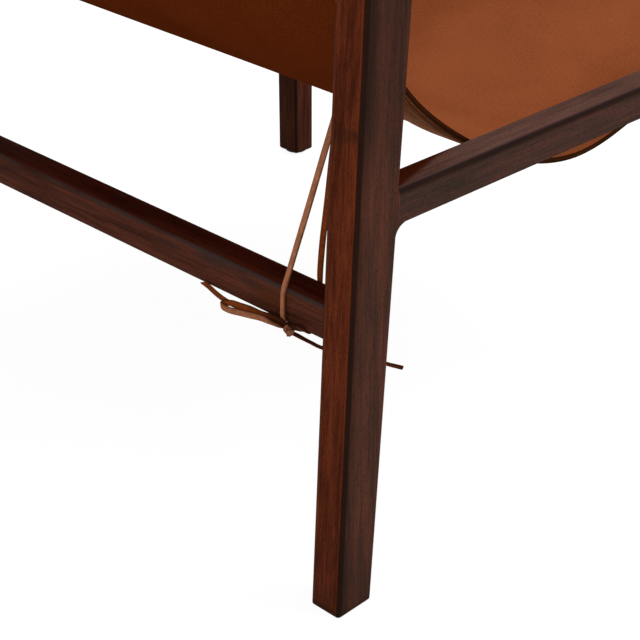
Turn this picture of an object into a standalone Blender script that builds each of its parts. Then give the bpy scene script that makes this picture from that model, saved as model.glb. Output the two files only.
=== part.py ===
"""A low easy chair: two wooden side frames, three cross rails and a leather sling.

The sling hangs from a top rail and a front rail, each in a stitched sleeve, and a
leather thong ties it down to the back stretcher beside each back leg.
World: metres, +Z up, the chair faces -Y, the floor is Z = 0, and the origin is the
bottom centre of the chair's box. Side outlines are drawn as (u, z): u is the distance
forward from the rear face of the back feet, and z is the height above the floor.
"""

import math

import bmesh
import bpy
from mathutils import Matrix, Vector

# Overall sizes of the frame
FRAME_WIDTH = 0.746
FOOT_SPAN = 0.677
SEAT_GAP = 0.0003

# Foot glides, nailed into the feet
GLIDE_THICK = 0.0022
GLIDE_RADIUS = 0.0095
GLIDE_EDGE = 0.0007
GLIDE_NAIL_RADIUS = 0.0014
GLIDE_NAIL_LENGTH = 0.014
LEG_BOTTOM = GLIDE_THICK + SEAT_GAP

# Back legs, bent at a knee
BACK_LEG_WIDTH = 0.0330
BACK_FOOT_DEPTH = 0.0391
BACK_REAR_LEAN_SHARE = 0.0458
BACK_FRONT_LEAN_SHARE = 0.0695
KNEE_HEIGHT = 0.575
KNEE_ROUND = 0.058
UPPER_LEAN = math.radians(27.5)
UPPER_LENGTH = 0.240
UPPER_END_DEPTH = 0.030
ARRIS_RADIUS = 0.0045
END_RADIUS = 0.0012
TOP_END_RADIUS = 0.006

# Front legs, upright
FRONT_LEG_WIDTH = 0.0320
FRONT_FOOT_DEPTH = 0.0305
FRONT_TOP_DEPTH = 0.0365

# Side rails, flush with the outer faces of the legs
SIDE_RAIL_WIDTH = 0.0278
SIDE_RAIL_DEPTH = 0.0284
SIDE_RAIL_BOTTOM = 0.3378
SIDE_RAIL_FILLET = 0.0075
SIDE_RAIL_ROUND = 0.005

# Back stretcher, low between the back legs
STRETCHER_DEPTH = 0.0282
STRETCHER_HEIGHT = 0.0322
STRETCHER_BOTTOM = 0.2398
STRETCHER_SETBACK = 0.0070
STRETCHER_ROUND = 0.0055

# Front and top rails, inside the sleeves of the sling
SLEEVE_RAIL_THICK = 0.022
SLEEVE_RAIL_DEPTH = 0.034
FRONT_RAIL_HEIGHT = 0.405
FRONT_RAIL_SETBACK = 0.0195
TOP_RAIL_DROP = 0.034

# Tenons and their mortises
TENON_THICK = 0.010
TENON_LENGTH = 0.016
TENON_SHOULDER = 0.004
TENON_ROOT = 0.002

# Arm rests
ARM_THICK = 0.022
ARM_REAR_WIDTH = 0.027
ARM_WIDTH = 0.056
ARM_ROUND = 0.007
ARM_REAR_HEIGHT = 0.537
ARM_FRONT_HEIGHT = 0.575
ARM_OVERHANG = 0.020
ARM_NOSE = 0.022
ARM_HOUSING = 0.008
ARM_OUTER_REVEAL = 0.004

# Sling, its side hems and its sleeves
LEATHER_THICK = 0.0026
HEM_THICK = 0.0020
PLIES_THICK = LEATHER_THICK + SEAT_GAP + HEM_THICK
HEM_WIDTH_BACK = 0.024
HEM_WIDTH_SEAT = 0.055
HEM_SWELL = (0.088, 0.125)
SLING_INSET = 0.0420
SLEEVE_CLOSE = 0.042
SLEEVE_FLAP = 0.030
HEM_GAP = 0.002
SEAT_SLOPE = math.radians(23.0)
TOP_SLOPE = math.radians(73.0)
BEND_SLOPE = math.radians(42.5)
BEND_FORWARD = 0.134
BEND_HEIGHT = 0.400
LOW_FORWARD = 0.340
LOW_HEIGHT = 0.3030
CURVE_REACH_SHARE = 0.30

# Leather thong ties
THONG_DIAMETER = 0.0032
THONG_STEP = 2.3 * THONG_DIAMETER
TIE_HOLE_RADIUS = 0.0024
KNOT_RADII = (0.0050, 0.0042, 0.0046)
KNOT_CLEARANCE = 0.0006

# Counts
CORNER_STEPS = 3
KNEE_STEPS = 10
CURVE_STEPS = 14
TURN_STEPS = 10
CLOSE_STEPS = 8
NOSE_STEPS = 12
TUBE_SIDES_STEPS = 2
HOLE_SIDES = 12

# Overrun of every cutter
OVERRUN = 0.001

HALF_WIDTH = FRAME_WIDTH / 2
SIDES = {"left": -1, "right": 1}

# Colours
MAHOGANY = (0.085, 0.024, 0.012, 1.0)
SLING_BROWN = (0.235, 0.082, 0.035, 1.0)
HEM_BROWN = (0.120, 0.045, 0.022, 1.0)
THONG_TAN = (0.235, 0.095, 0.045, 1.0)
GLIDE_DARK = (0.020, 0.018, 0.017, 1.0)


def clear_scene():
    for old in list(bpy.data.objects):
        bpy.data.objects.remove(old, do_unlink=True)


def finish_material(name, colour, roughness, metallic=0.0):
    """A Principled material with one colour."""
    material = bpy.data.materials.new(name)
    material.use_nodes = True
    shader = material.node_tree.nodes["Principled BSDF"]
    shader.inputs["Base Color"].default_value = colour
    shader.inputs["Roughness"].default_value = roughness
    shader.inputs["Metallic"].default_value = metallic
    return material


def face_outward(bm):
    """Turn the faces of a closed body outward."""
    bmesh.ops.recalc_face_normals(bm, faces=bm.faces)
    if bm.calc_volume(signed=True) < 0:
        bmesh.ops.reverse_faces(bm, faces=bm.faces)


def add_object(name, bm, look, smooth_angle=math.radians(32)):
    """Turn a bmesh into a named object with its own material."""
    face_outward(bm)
    mesh = bpy.data.meshes.new(name)
    bm.to_mesh(mesh)
    bm.free()
    mesh.shade_smooth()
    mesh.set_sharp_from_angle(angle=smooth_angle)
    colour, roughness = look
    mesh.materials.append(finish_material(f"{name}_finish", colour, roughness))
    piece = bpy.data.objects.new(name, mesh)
    bpy.context.collection.objects.link(piece)
    return piece


def guide(name, bm):
    """A cutter or a tenon block, hidden from the build."""
    face_outward(bm)
    mesh = bpy.data.meshes.new(name)
    bm.to_mesh(mesh)
    bm.free()
    block = bpy.data.objects.new(name, mesh)
    bpy.context.collection.objects.link(block)
    block.hide_render = True
    block.display_type = "WIRE"
    return block


def boolean(piece, other, operation):
    step = piece.modifiers.new(f"{operation.lower()}_{other.name}", "BOOLEAN")
    step.operation = operation
    step.solver = "EXACT"
    step.object = other


def box_bmesh(centre, size, turn=Matrix.Identity(3)):
    """A box of a size (x, y, z) turned about its centre."""
    bm = bmesh.new()
    bmesh.ops.create_cube(bm, size=1.0)
    for vertex in bm.verts:
        scaled = Vector(a * b for a, b in zip(vertex.co, size))
        vertex.co = turn @ scaled + Vector(centre)
    return bm


def cylinder_bmesh(start, end, radius, sides):
    """A cylinder between two points."""
    start, end = Vector(start), Vector(end)
    along = end - start
    bm = bmesh.new()
    turn = along.to_track_quat("Z", "Y").to_matrix().to_4x4()
    bmesh.ops.create_cone(
        bm,
        cap_ends=True,
        segments=sides,
        radius1=radius,
        radius2=radius,
        depth=along.length,
        matrix=Matrix.Translation((start + end) / 2) @ turn,
    )
    return bm


def place(x, uz):
    """A point of the side outline at a distance x across the chair."""
    return Vector((x, -uz[0], uz[1]))


def mix(a, b, share):
    return a + (b - a) * share


def rounded_ring(rear, front, x_low, x_high, radius):
    """Points round a section that spans rear to front and x_low to x_high."""
    across = (front - rear).normalized()
    depth = (front - rear).length
    corners = (
        (depth - radius, x_high - radius, 0),
        (radius, x_high - radius, 1),
        (radius, x_low + radius, 2),
        (depth - radius, x_low + radius, 3),
    )
    points = []
    for along, x, quarter in corners:
        for step in range(CORNER_STEPS + 1):
            angle = (quarter + step / CORNER_STEPS) * math.pi / 2
            reach = rear + across * (along + radius * math.cos(angle))
            points.append(place(x + radius * math.sin(angle), reach))
    return points


def loft(rings):
    """A closed body through rings with the same number of points."""
    bm = bmesh.new()
    rows = [[bm.verts.new(point) for point in ring] for ring in rings]
    count = len(rows[0])
    for low, high in zip(rows, rows[1:]):
        for i in range(count):
            j = (i + 1) % count
            bm.faces.new((low[i], low[j], high[j], high[i]))
    bm.faces.new(rows[0])
    bm.faces.new(list(reversed(rows[-1])))
    return bm


def eased_end(section, radius, outward):
    """Rings that round off the last section by a quarter circle, from its edge inwards."""
    rear, front, x_low, x_high = section
    across = (front - rear).normalized()
    rings = []
    for step in range(1, CORNER_STEPS + 1):
        angle = step / CORNER_STEPS * math.pi / 2
        inset = radius * (1 - math.cos(angle))
        rise = outward * radius * math.sin(angle)
        rings.append(
            rounded_ring(
                rear + across * inset + rise,
                front - across * inset + rise,
                x_low + inset,
                x_high - inset,
                ARRIS_RADIUS - inset * ARRIS_RADIUS / (ARRIS_RADIUS + radius),
            )
        )
    return rings


def leg_body(rear_line, front_line, x_low, x_high, bottom_radius, top_radius):
    """A leg with rounded arrises and ends, through matching rear and front points."""
    first = (rear_line[0], front_line[0])
    last = (rear_line[-1], front_line[-1])
    down = (rear_line[0] - rear_line[1]).normalized()
    up = (rear_line[-1] - rear_line[-2]).normalized()
    foot = (first[0] - down * bottom_radius, first[1] - down * bottom_radius)
    head = (last[0] - up * top_radius, last[1] - up * top_radius)
    rings = list(reversed(eased_end((*foot, x_low, x_high), bottom_radius, down)))
    rings.append(rounded_ring(*foot, x_low, x_high, ARRIS_RADIUS))
    for rear, front in zip(rear_line[1:-1], front_line[1:-1]):
        rings.append(rounded_ring(rear, front, x_low, x_high, ARRIS_RADIUS))
    rings.append(rounded_ring(*head, x_low, x_high, ARRIS_RADIUS))
    rings += eased_end((*head, x_low, x_high), top_radius, up)
    return loft(rings)


def back_rear(z):
    """The rear face of a back leg below its knee."""
    return Vector(((z - LEG_BOTTOM) * BACK_REAR_LEAN_SHARE, z))


def back_front(z):
    """The front face of a back leg below its knee."""
    return Vector((BACK_FOOT_DEPTH + (z - LEG_BOTTOM) * BACK_FRONT_LEAN_SHARE, z))


def front_rear(z):
    """The rear face of a front leg."""
    share = (z - LEG_BOTTOM) / (ARM_FRONT_HEIGHT - LEG_BOTTOM)
    return Vector((FOOT_SPAN - mix(FRONT_FOOT_DEPTH, FRONT_TOP_DEPTH, share), z))


def bent_line(start, corner, end, reach):
    """Start, a smooth bend round the corner, and the end."""
    before = corner + (start - corner).normalized() * reach
    after = corner + (end - corner).normalized() * reach
    line = [start, mix(start, before, 1 / 2)]
    for step in range(KNEE_STEPS + 1):
        t = step / KNEE_STEPS
        line.append(mix(mix(before, corner, t), mix(corner, after, t), t))
    line += [mix(after, end, 1 / 2), end]
    return line


def knee_corners():
    """The corners of the rear and the front outline at the knee."""
    rear = back_rear(KNEE_HEIGHT)
    lower = math.atan(BACK_REAR_LEAN_SHARE)
    middle = (lower - UPPER_LEAN) / 2
    normal = Vector((math.cos(middle), -math.sin(middle)))
    width = back_front(KNEE_HEIGHT).x - rear.x
    return rear, rear + normal * width


def upper_direction():
    return Vector((-math.sin(UPPER_LEAN), math.cos(UPPER_LEAN)))


def back_leg_top():
    """The rear and the front corner of the upper end of a back leg."""
    rear, front = knee_corners()
    middle = (rear + front) / 2 + upper_direction() * UPPER_LENGTH
    side = Vector((math.cos(UPPER_LEAN), math.sin(UPPER_LEAN))) * UPPER_END_DEPTH / 2
    return middle - side, middle + side


def top_rail_place():
    rear, front = back_leg_top()
    return (rear + front) / 2 - upper_direction() * TOP_RAIL_DROP


def front_rail_place():
    return Vector((FOOT_SPAN - FRONT_RAIL_SETBACK, FRONT_RAIL_HEIGHT))


def stretcher_place():
    rear = back_rear(STRETCHER_BOTTOM + STRETCHER_HEIGHT / 2).x + STRETCHER_SETBACK
    return Vector((rear + STRETCHER_DEPTH / 2, STRETCHER_BOTTOM + STRETCHER_HEIGHT / 2))


def across_leg(side, width):
    """The outer and inner x of something flush with a side's outer face, in order."""
    outer = side * HALF_WIDTH
    inner = side * (HALF_WIDTH - width)
    return min(outer, inner), max(outer, inner)


def make_back_leg(name, side):
    rear_corner, front_corner = knee_corners()
    rear_top, front_top = back_leg_top()
    rear = bent_line(back_rear(LEG_BOTTOM), rear_corner, rear_top, KNEE_ROUND)
    front = bent_line(back_front(LEG_BOTTOM), front_corner, front_top, KNEE_ROUND)
    x_low, x_high = across_leg(side, BACK_LEG_WIDTH)
    body = leg_body(rear, front, x_low, x_high, END_RADIUS, TOP_END_RADIUS)
    return add_object(name, body, (MAHOGANY, 0.42))


def front_leg_top():
    return arm_underside(FOOT_SPAN - FRONT_TOP_DEPTH / 2) - SEAT_GAP


def make_front_leg(name, side):
    """The leg's head is cut to the slope of the arm's underside."""
    x_low, x_high = across_leg(side, FRONT_LEG_WIDTH)
    levels = [LEG_BOTTOM, mix(LEG_BOTTOM, ARM_FRONT_HEIGHT, 1 / 2)]
    rear = [front_rear(z) for z in levels]
    front = [Vector((FOOT_SPAN, z)) for z in levels]
    rear.append(Vector((front_rear(front_leg_top()).x, 0)))
    front.append(Vector((FOOT_SPAN, 0)))
    for end in (rear[-1], front[-1]):
        end.y = arm_underside(end.x) - SEAT_GAP
    down = (rear[0] - rear[1]).normalized()
    foot = (rear[0] - down * END_RADIUS, front[0] - down * END_RADIUS)
    rings = list(reversed(eased_end((*foot, x_low, x_high), END_RADIUS, down)))
    for low, high in ((foot[0], foot[1]), (rear[1], front[1]), (rear[2], front[2])):
        rings.append(rounded_ring(low, high, x_low, x_high, ARRIS_RADIUS))
    return add_object(name, loft(rings), (MAHOGANY, 0.42))


def side_rail_outline():
    """The rail between the legs, its lower corners swept down into them."""
    bottom, top = SIDE_RAIL_BOTTOM, SIDE_RAIL_BOTTOM + SIDE_RAIL_DEPTH
    low = bottom - SIDE_RAIL_FILLET
    outline = []
    for step in range(CORNER_STEPS * 2 + 1):
        angle = step / (CORNER_STEPS * 2) * math.pi / 2
        z = low + SIDE_RAIL_FILLET * math.sin(angle)
        forward = SIDE_RAIL_FILLET * (1 - math.cos(angle))
        outline.append(Vector((back_front(z).x + SEAT_GAP + forward, z)))
    for step in range(CORNER_STEPS * 2 + 1):
        angle = (1 - step / (CORNER_STEPS * 2)) * math.pi / 2
        z = low + SIDE_RAIL_FILLET * math.sin(angle)
        forward = SIDE_RAIL_FILLET * (1 - math.cos(angle))
        outline.append(Vector((front_rear(z).x - SEAT_GAP - forward, z)))
    outline.append(Vector((front_rear(top).x - SEAT_GAP, top)))
    outline.append(Vector((back_front(top).x + SEAT_GAP, top)))
    return outline


def round_long_edges(bm, radius, ends):
    """Round the edges that run along the piece, not those of its two ends."""
    chosen = []
    for edge in bm.edges:
        flat = all(ends(vertex.co) for vertex in edge.verts)
        if not flat and edge.calc_face_angle(0.0) > math.radians(60):
            chosen.append(edge)
    bmesh.ops.bevel(
        bm,
        geom=chosen,
        offset=radius,
        segments=CORNER_STEPS,
        profile=0.5,
        affect="EDGES",
        clamp_overlap=True,
    )


def make_side_rail(name, side):
    x_low, x_high = across_leg(side, SIDE_RAIL_WIDTH)
    outline = side_rail_outline()
    bm = bmesh.new()
    near = [bm.verts.new(place(x_low, point)) for point in outline]
    far = [bm.verts.new(place(x_high, point)) for point in outline]
    bm.faces.new(near)
    bm.faces.new(list(reversed(far)))
    for i in range(len(outline)):
        j = (i + 1) % len(outline)
        bm.faces.new((near[i], far[i], far[j], near[j]))
    face_outward(bm)

    def at_an_end(co):
        rear_gap = abs(-co.y - back_front(co.z).x - SEAT_GAP)
        front_gap = abs(-co.y - front_rear(co.z).x + SEAT_GAP)
        return min(rear_gap, front_gap) < SEAT_GAP / 2

    round_long_edges(bm, SIDE_RAIL_ROUND, at_an_end)
    return add_object(name, bm, (MAHOGANY, 0.42))


def make_stretcher(name):
    middle = stretcher_place()
    half = Vector((STRETCHER_DEPTH / 2, 0))
    length = HALF_WIDTH - BACK_LEG_WIDTH - SEAT_GAP
    rings = []
    for x in (-length, length):
        ring = []
        corners = ((1, 1, 0), (-1, 1, 1), (-1, -1, 2), (1, -1, 3))
        for u_sign, z_sign, quarter in corners:
            u = middle.x + u_sign * (half.x - STRETCHER_ROUND)
            z = middle.y + z_sign * (STRETCHER_HEIGHT / 2 - STRETCHER_ROUND)
            for step in range(CORNER_STEPS + 2):
                angle = (quarter + step / (CORNER_STEPS + 1)) * math.pi / 2
                spot = Vector((math.cos(angle), math.sin(angle))) * STRETCHER_ROUND
                ring.append(place(x, Vector((u, z)) + spot))
        rings.append(ring)
    return add_object(name, loft(rings), (MAHOGANY, 0.42))


def sleeve_rail_ring(x, centre, along):
    """A stadium section whose long axis is the direction along."""
    normal = Vector((-along.y, along.x))
    radius = SLEEVE_RAIL_THICK / 2
    straight = SLEEVE_RAIL_DEPTH / 2 - radius
    ring = []
    for end, start in ((1, -math.pi / 2), (-1, math.pi / 2)):
        for step in range(TURN_STEPS + 1):
            angle = start + step / TURN_STEPS * math.pi
            out = along * math.cos(angle) + normal * math.sin(angle)
            ring.append(place(x, centre + along * end * straight + out * radius))
    return ring


def make_sleeve_rail(name, centre, along, leg_width):
    length = HALF_WIDTH - leg_width - SEAT_GAP
    rings = [sleeve_rail_ring(x, centre, along) for x in (-length, length)]
    return add_object(name, loft(rings), (MAHOGANY, 0.42))


def cut_mortise(rail, leg, side, centre, along, tenon_depth, leg_width):
    """A tenon on a cross rail's end and its mortise in the leg's inner face."""
    face = side * (HALF_WIDTH - leg_width)
    turn = Matrix.Rotation(math.atan2(along.y, -along.x), 3, "X")
    tenon_x = (face + side * (TENON_LENGTH / 2 - TENON_ROOT / 2))
    block = guide(
        f"{rail.name}_{leg.name}_tenon",
        box_bmesh(
            place(tenon_x, centre),
            (TENON_LENGTH + TENON_ROOT, tenon_depth, TENON_THICK),
            turn,
        ),
    )
    pocket = guide(
        f"{rail.name}_{leg.name}_mortise",
        box_bmesh(
            place(face + side * (TENON_LENGTH + SEAT_GAP - OVERRUN) / 2, centre),
            (
                TENON_LENGTH + SEAT_GAP + OVERRUN,
                tenon_depth + 2 * SEAT_GAP,
                TENON_THICK + 2 * SEAT_GAP,
            ),
            turn,
        ),
    )
    boolean(rail, block, "UNION")
    boolean(leg, pocket, "DIFFERENCE")


def cut_side_tenon(rail, leg, side, seat, inward):
    """A tenon on a side rail's end and its mortise in the leg."""
    x = side * (HALF_WIDTH - SIDE_RAIL_WIDTH / 2)
    height = SIDE_RAIL_DEPTH - 2 * TENON_SHOULDER
    middle = SIDE_RAIL_BOTTOM + SIDE_RAIL_DEPTH / 2
    at = seat(middle).x
    slope = abs(seat(middle + height / 2).x - seat(middle - height / 2).x)
    root = at + inward * (TENON_ROOT + slope)
    tip = at - inward * TENON_LENGTH
    block = guide(
        f"{rail.name}_{leg.name}_tenon",
        box_bmesh(
            place(x, Vector(((root + tip) / 2, middle))),
            (TENON_THICK, abs(root - tip), height),
        ),
    )
    mouth = at + inward * (OVERRUN + slope)
    floor = tip - inward * SEAT_GAP
    pocket = guide(
        f"{rail.name}_{leg.name}_mortise",
        box_bmesh(
            place(x, Vector(((mouth + floor) / 2, middle))),
            (TENON_THICK + 2 * SEAT_GAP, abs(mouth - floor), height + 2 * SEAT_GAP),
        ),
    )
    boolean(rail, block, "UNION")
    boolean(leg, pocket, "DIFFERENCE")


def arm_line(u):
    """The height of the arm's middle plane."""
    rear = back_front(ARM_REAR_HEIGHT).x
    return mix(ARM_REAR_HEIGHT, ARM_FRONT_HEIGHT, (u - rear) / (FOOT_SPAN - rear))


def arm_slope():
    rear = back_front(ARM_REAR_HEIGHT).x
    return math.atan2(ARM_FRONT_HEIGHT - ARM_REAR_HEIGHT, FOOT_SPAN - rear)


def arm_underside(u):
    return arm_line(u) - ARM_THICK / 2 / math.cos(arm_slope())


def arm_plan(share):
    """The outer and the inner reach of the arm from the leg's middle line."""
    rear_half = ARM_REAR_WIDTH / 2
    swell = math.sin(share * math.pi / 2) ** 2
    outer_full = FRONT_LEG_WIDTH / 2 + ARM_OUTER_REVEAL
    outer = mix(rear_half, outer_full, swell)
    inner = mix(rear_half, ARM_WIDTH - outer_full, swell)
    return outer, inner


def arm_outline():
    """The arm's plan as (u, reach outward from the leg's middle line)."""
    rear = back_front(ARM_REAR_HEIGHT).x - ARM_HOUSING
    front = FOOT_SPAN + ARM_OVERHANG
    outer_side, inner_side, nose = [], [], []
    for step in range(KNEE_STEPS + 1):
        share = step / KNEE_STEPS
        u = mix(rear, front - ARM_NOSE, share)
        outer, inner = arm_plan(share)
        outer_side.append((u, outer))
        inner_side.append((u, -inner))
    middle, half = (outer - inner) / 2, (outer + inner) / 2
    for step in range(1, NOSE_STEPS):
        angle = step / NOSE_STEPS * math.pi
        u = front - ARM_NOSE + ARM_NOSE * math.sin(angle)
        nose.append((u, middle + half * math.cos(angle)))
    return outer_side + nose + list(reversed(inner_side))


def make_arm(name, side):
    """An arm that swells from the back leg forward and ends in a rounded nose."""
    slope = arm_slope()
    x_middle = side * (HALF_WIDTH - BACK_LEG_WIDTH / 2)
    up = Vector((-math.sin(slope), math.cos(slope))) * ARM_THICK / 2
    outline = arm_outline()
    bm = bmesh.new()
    rows = []
    for rise in (-up, up):
        row = []
        for u, reach in outline:
            spot = Vector((u, arm_line(u))) + rise
            row.append(bm.verts.new(place(x_middle + side * reach, spot)))
        rows.append(row)
    low, high = rows
    bm.faces.new(low)
    bm.faces.new(list(reversed(high)))
    for i in range(len(outline)):
        j = (i + 1) % len(outline)
        bm.faces.new((low[i], high[i], high[j], low[j]))
    face_outward(bm)
    rear = outline[0][0]

    def at_rear(co):
        return -co.y < rear + ARM_HOUSING / 2

    round_long_edges(bm, ARM_ROUND, at_rear)
    return add_object(name, bm, (MAHOGANY, 0.40))


def join_arm(arm, back_leg, front_leg, side):
    """House the arm's rear end in the back leg, and tenon the front leg into the arm."""
    rear = back_front(ARM_REAR_HEIGHT).x - ARM_HOUSING
    x = side * (HALF_WIDTH - BACK_LEG_WIDTH / 2)
    turn = Matrix.Rotation(-arm_slope(), 3, "X")
    depth = ARM_HOUSING + KNEE_ROUND / 2
    middle = rear - SEAT_GAP + depth / 2
    housing = guide(
        f"{arm.name}_housing",
        box_bmesh(
            place(x, Vector((middle, arm_line(middle)))),
            (ARM_REAR_WIDTH + 4 * SEAT_GAP, depth, ARM_THICK + 2 * SEAT_GAP),
            turn,
        ),
    )
    boolean(back_leg, housing, "DIFFERENCE")
    x = side * (HALF_WIDTH - FRONT_LEG_WIDTH / 2)
    u = FOOT_SPAN - FRONT_TOP_DEPTH / 2
    height = ARM_THICK / 2
    depth = FRONT_TOP_DEPTH - 2 * TENON_SHOULDER
    base = arm_underside(u)
    block = guide(
        f"{front_leg.name}_tenon",
        box_bmesh(
            place(x, Vector((u, base + (height - TENON_SHOULDER) / 2))),
            (TENON_THICK, depth, height + TENON_SHOULDER),
        ),
    )
    pocket = guide(
        f"{arm.name}_mortise",
        box_bmesh(
            place(x, Vector((u, base + (height + SEAT_GAP - TENON_SHOULDER) / 2))),
            (
                TENON_THICK + 2 * SEAT_GAP,
                depth + 2 * SEAT_GAP,
                height + SEAT_GAP + TENON_SHOULDER,
            ),
        ),
    )
    boolean(front_leg, block, "UNION")
    boolean(arm, pocket, "DIFFERENCE")


def make_glide(name, leg, x, u):
    """A round glide with its nail, and the hole for the nail in the leg."""
    top = GLIDE_THICK + GLIDE_NAIL_LENGTH
    profile = (
        (GLIDE_RADIUS - GLIDE_EDGE, 0),
        (GLIDE_RADIUS, GLIDE_EDGE),
        (GLIDE_RADIUS, GLIDE_THICK),
        (GLIDE_NAIL_RADIUS, GLIDE_THICK),
        (GLIDE_NAIL_RADIUS, top - 2 * GLIDE_NAIL_RADIUS),
    )
    bm = bmesh.new()
    sides = 24
    rows = []
    for radius, z in profile:
        row = []
        for i in range(sides):
            angle = i / sides * 2 * math.pi
            spot = Vector((radius * math.cos(angle), radius * math.sin(angle), z))
            row.append(bm.verts.new(Vector((x, -u, 0)) + spot))
        rows.append(row)
    tip = bm.verts.new((x, -u, top))
    for low, high in zip(rows, rows[1:]):
        for i in range(sides):
            j = (i + 1) % sides
            bm.faces.new((low[i], low[j], high[j], high[i]))
    bm.faces.new(list(reversed(rows[0])))
    for i in range(sides):
        bm.faces.new((rows[-1][i], rows[-1][(i + 1) % sides], tip))
    add_object(name, bm, (GLIDE_DARK, 0.6))
    hole = guide(
        f"{name}_hole",
        cylinder_bmesh(
            (x, -u, LEG_BOTTOM - OVERRUN),
            (x, -u, top + OVERRUN),
            GLIDE_NAIL_RADIUS + SEAT_GAP,
            CORNER_STEPS * 4,
        ),
    )
    boolean(leg, hole, "DIFFERENCE")


def bezier(start, start_angle, end, end_angle):
    """A smooth run between two points, falling at the given slopes."""
    reach = (end - start).length * CURVE_REACH_SHARE
    first = start + Vector((math.cos(start_angle), -math.sin(start_angle))) * reach
    second = end - Vector((math.cos(end_angle), -math.sin(end_angle))) * reach
    points = []
    for step in range(CURVE_STEPS):
        t = step / CURVE_STEPS
        a, b, c = mix(start, first, t), mix(first, second, t), mix(second, end, t)
        points.append(mix(mix(a, b, t), mix(b, c, t), t))
    return points


def sleeve_path(centre, along, normal):
    """From the sling to the sleeve's flap: round the rail and back under the sling."""
    radius = SLEEVE_RAIL_THICK / 2 + SEAT_GAP + LEATHER_THICK
    straight = SLEEVE_RAIL_DEPTH / 2 - SLEEVE_RAIL_THICK / 2
    flap = radius - 2 * LEATHER_THICK - SEAT_GAP
    points = [centre - along * straight + normal * radius]
    for step in range(TURN_STEPS + 1):
        angle = (1 / 2 - step / TURN_STEPS) * math.pi
        out = along * math.cos(angle) + normal * math.sin(angle)
        points.append(centre + along * straight + out * radius)
    for step in range(CLOSE_STEPS + 1):
        s = step / CLOSE_STEPS
        rise = mix(-radius, flap, 3 * s**2 - 2 * s**3)
        points.append(centre - along * (straight + SLEEVE_CLOSE * s) + normal * rise)
    last = straight + SLEEVE_CLOSE + SLEEVE_FLAP
    points.append(centre - along * last + normal * flap)
    return points


def sleeve_start(centre, along, normal):
    """Where the sling leaves its straight run before a sleeve."""
    radius = SLEEVE_RAIL_THICK / 2 + SEAT_GAP + LEATHER_THICK
    straight = SLEEVE_RAIL_DEPTH / 2 - SLEEVE_RAIL_THICK / 2
    back = straight + SLEEVE_CLOSE + SLEEVE_FLAP + HEM_GAP
    return centre - along * back + normal * radius


def rail_axes():
    """For each sleeve rail its centre, its direction away from the seat and its normal."""
    top_along = Vector((-math.cos(TOP_SLOPE), math.sin(TOP_SLOPE)))
    top_normal = Vector((math.sin(TOP_SLOPE), math.cos(TOP_SLOPE)))
    front_along = Vector((math.cos(SEAT_SLOPE), math.sin(SEAT_SLOPE)))
    front_normal = Vector((-math.sin(SEAT_SLOPE), math.cos(SEAT_SLOPE)))
    return (
        (top_rail_place(), top_along, top_normal),
        (front_rail_place(), front_along, front_normal),
    )


def sling_run():
    """The seat side of the sling between its two sleeves, from the top forward."""
    top, front = rail_axes()
    start, end = sleeve_start(*top), sleeve_start(*front)
    bend = Vector((BEND_FORWARD, BEND_HEIGHT))
    low = Vector((LOW_FORWARD, LOW_HEIGHT))
    line = bezier(start, TOP_SLOPE, bend, BEND_SLOPE)
    line += bezier(bend, BEND_SLOPE, low, 0)
    line += bezier(low, 0, end, -SEAT_SLOPE)
    line.append(end)
    return line


def normals_of(line):
    """The seat-side normal at each point of a line that runs from the top forward."""
    result = []
    for i in range(len(line)):
        ahead, behind = line[min(i + 1, len(line) - 1)], line[max(i - 1, 0)]
        run = (ahead - behind).normalized()
        result.append(Vector((-run.y, run.x)))
    return result


def strip(line, upper, lower, x_low, x_high):
    """A strip between two offsets below a line, with its two edges for each point."""
    sides = normals_of(line)
    rings = []
    for edge in (x_low, x_high):
        over = [place(x, p - n * upper) for x, p, n in zip(edge, line, sides)]
        under = [place(x, p - n * lower) for x, p, n in zip(edge, line, sides)]
        rings.append(over + list(reversed(under)))
    bm = bmesh.new()
    near, far = [[bm.verts.new(p) for p in ring] for ring in rings]
    count, total = len(line), len(line) * 2
    for i in range(total):
        j = (i + 1) % total
        bm.faces.new((near[i], near[j], far[j], far[i]))
    for row, flip in ((near, False), (far, True)):
        for i in range(count - 1):
            quad = [row[i], row[i + 1], row[total - 2 - i], row[total - 1 - i]]
            bm.faces.new(list(reversed(quad)) if flip else quad)
    return bm


def make_sling():
    """The leather panel with its sleeves round the top and the front rail."""
    top, front = rail_axes()
    line = list(reversed(sleeve_path(*top))) + sling_run() + sleeve_path(*front)
    edge = [HALF_WIDTH - SLING_INSET] * len(line)
    body = strip(line, 0, LEATHER_THICK, [-x for x in edge], edge)
    return add_object("sling_panel", body, (SLING_BROWN, 0.55))


def hem_width(point):
    """The hem is narrow up the back and wide along the seat."""
    start, end = HEM_SWELL
    share = min(1, max(0, (point.x - start) / (end - start)))
    return mix(HEM_WIDTH_BACK, HEM_WIDTH_SEAT, 3 * share**2 - 2 * share**3)


def make_hem(name, side):
    """The second ply along one side, under the panel."""
    line = sling_run()
    outer = [side * (HALF_WIDTH - SLING_INSET)] * len(line)
    inner = [side * (HALF_WIDTH - SLING_INSET - hem_width(point)) for point in line]
    low, high = (outer, inner) if side < 0 else (inner, outer)
    body = strip(line, LEATHER_THICK + SEAT_GAP, PLIES_THICK, low, high)
    return add_object(name, body, (HEM_BROWN, 0.7))


def on_sling(forward):
    """The seat side of the sling at a distance forward, and its normal there."""
    line = sling_run()
    sides = normals_of(line)
    for i in range(len(line) - 1):
        if line[i].x <= forward <= line[i + 1].x:
            share = (forward - line[i].x) / (line[i + 1].x - line[i].x)
            return mix(line[i], line[i + 1], share), mix(sides[i], sides[i + 1], share)
    return line[0], sides[0]


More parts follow.
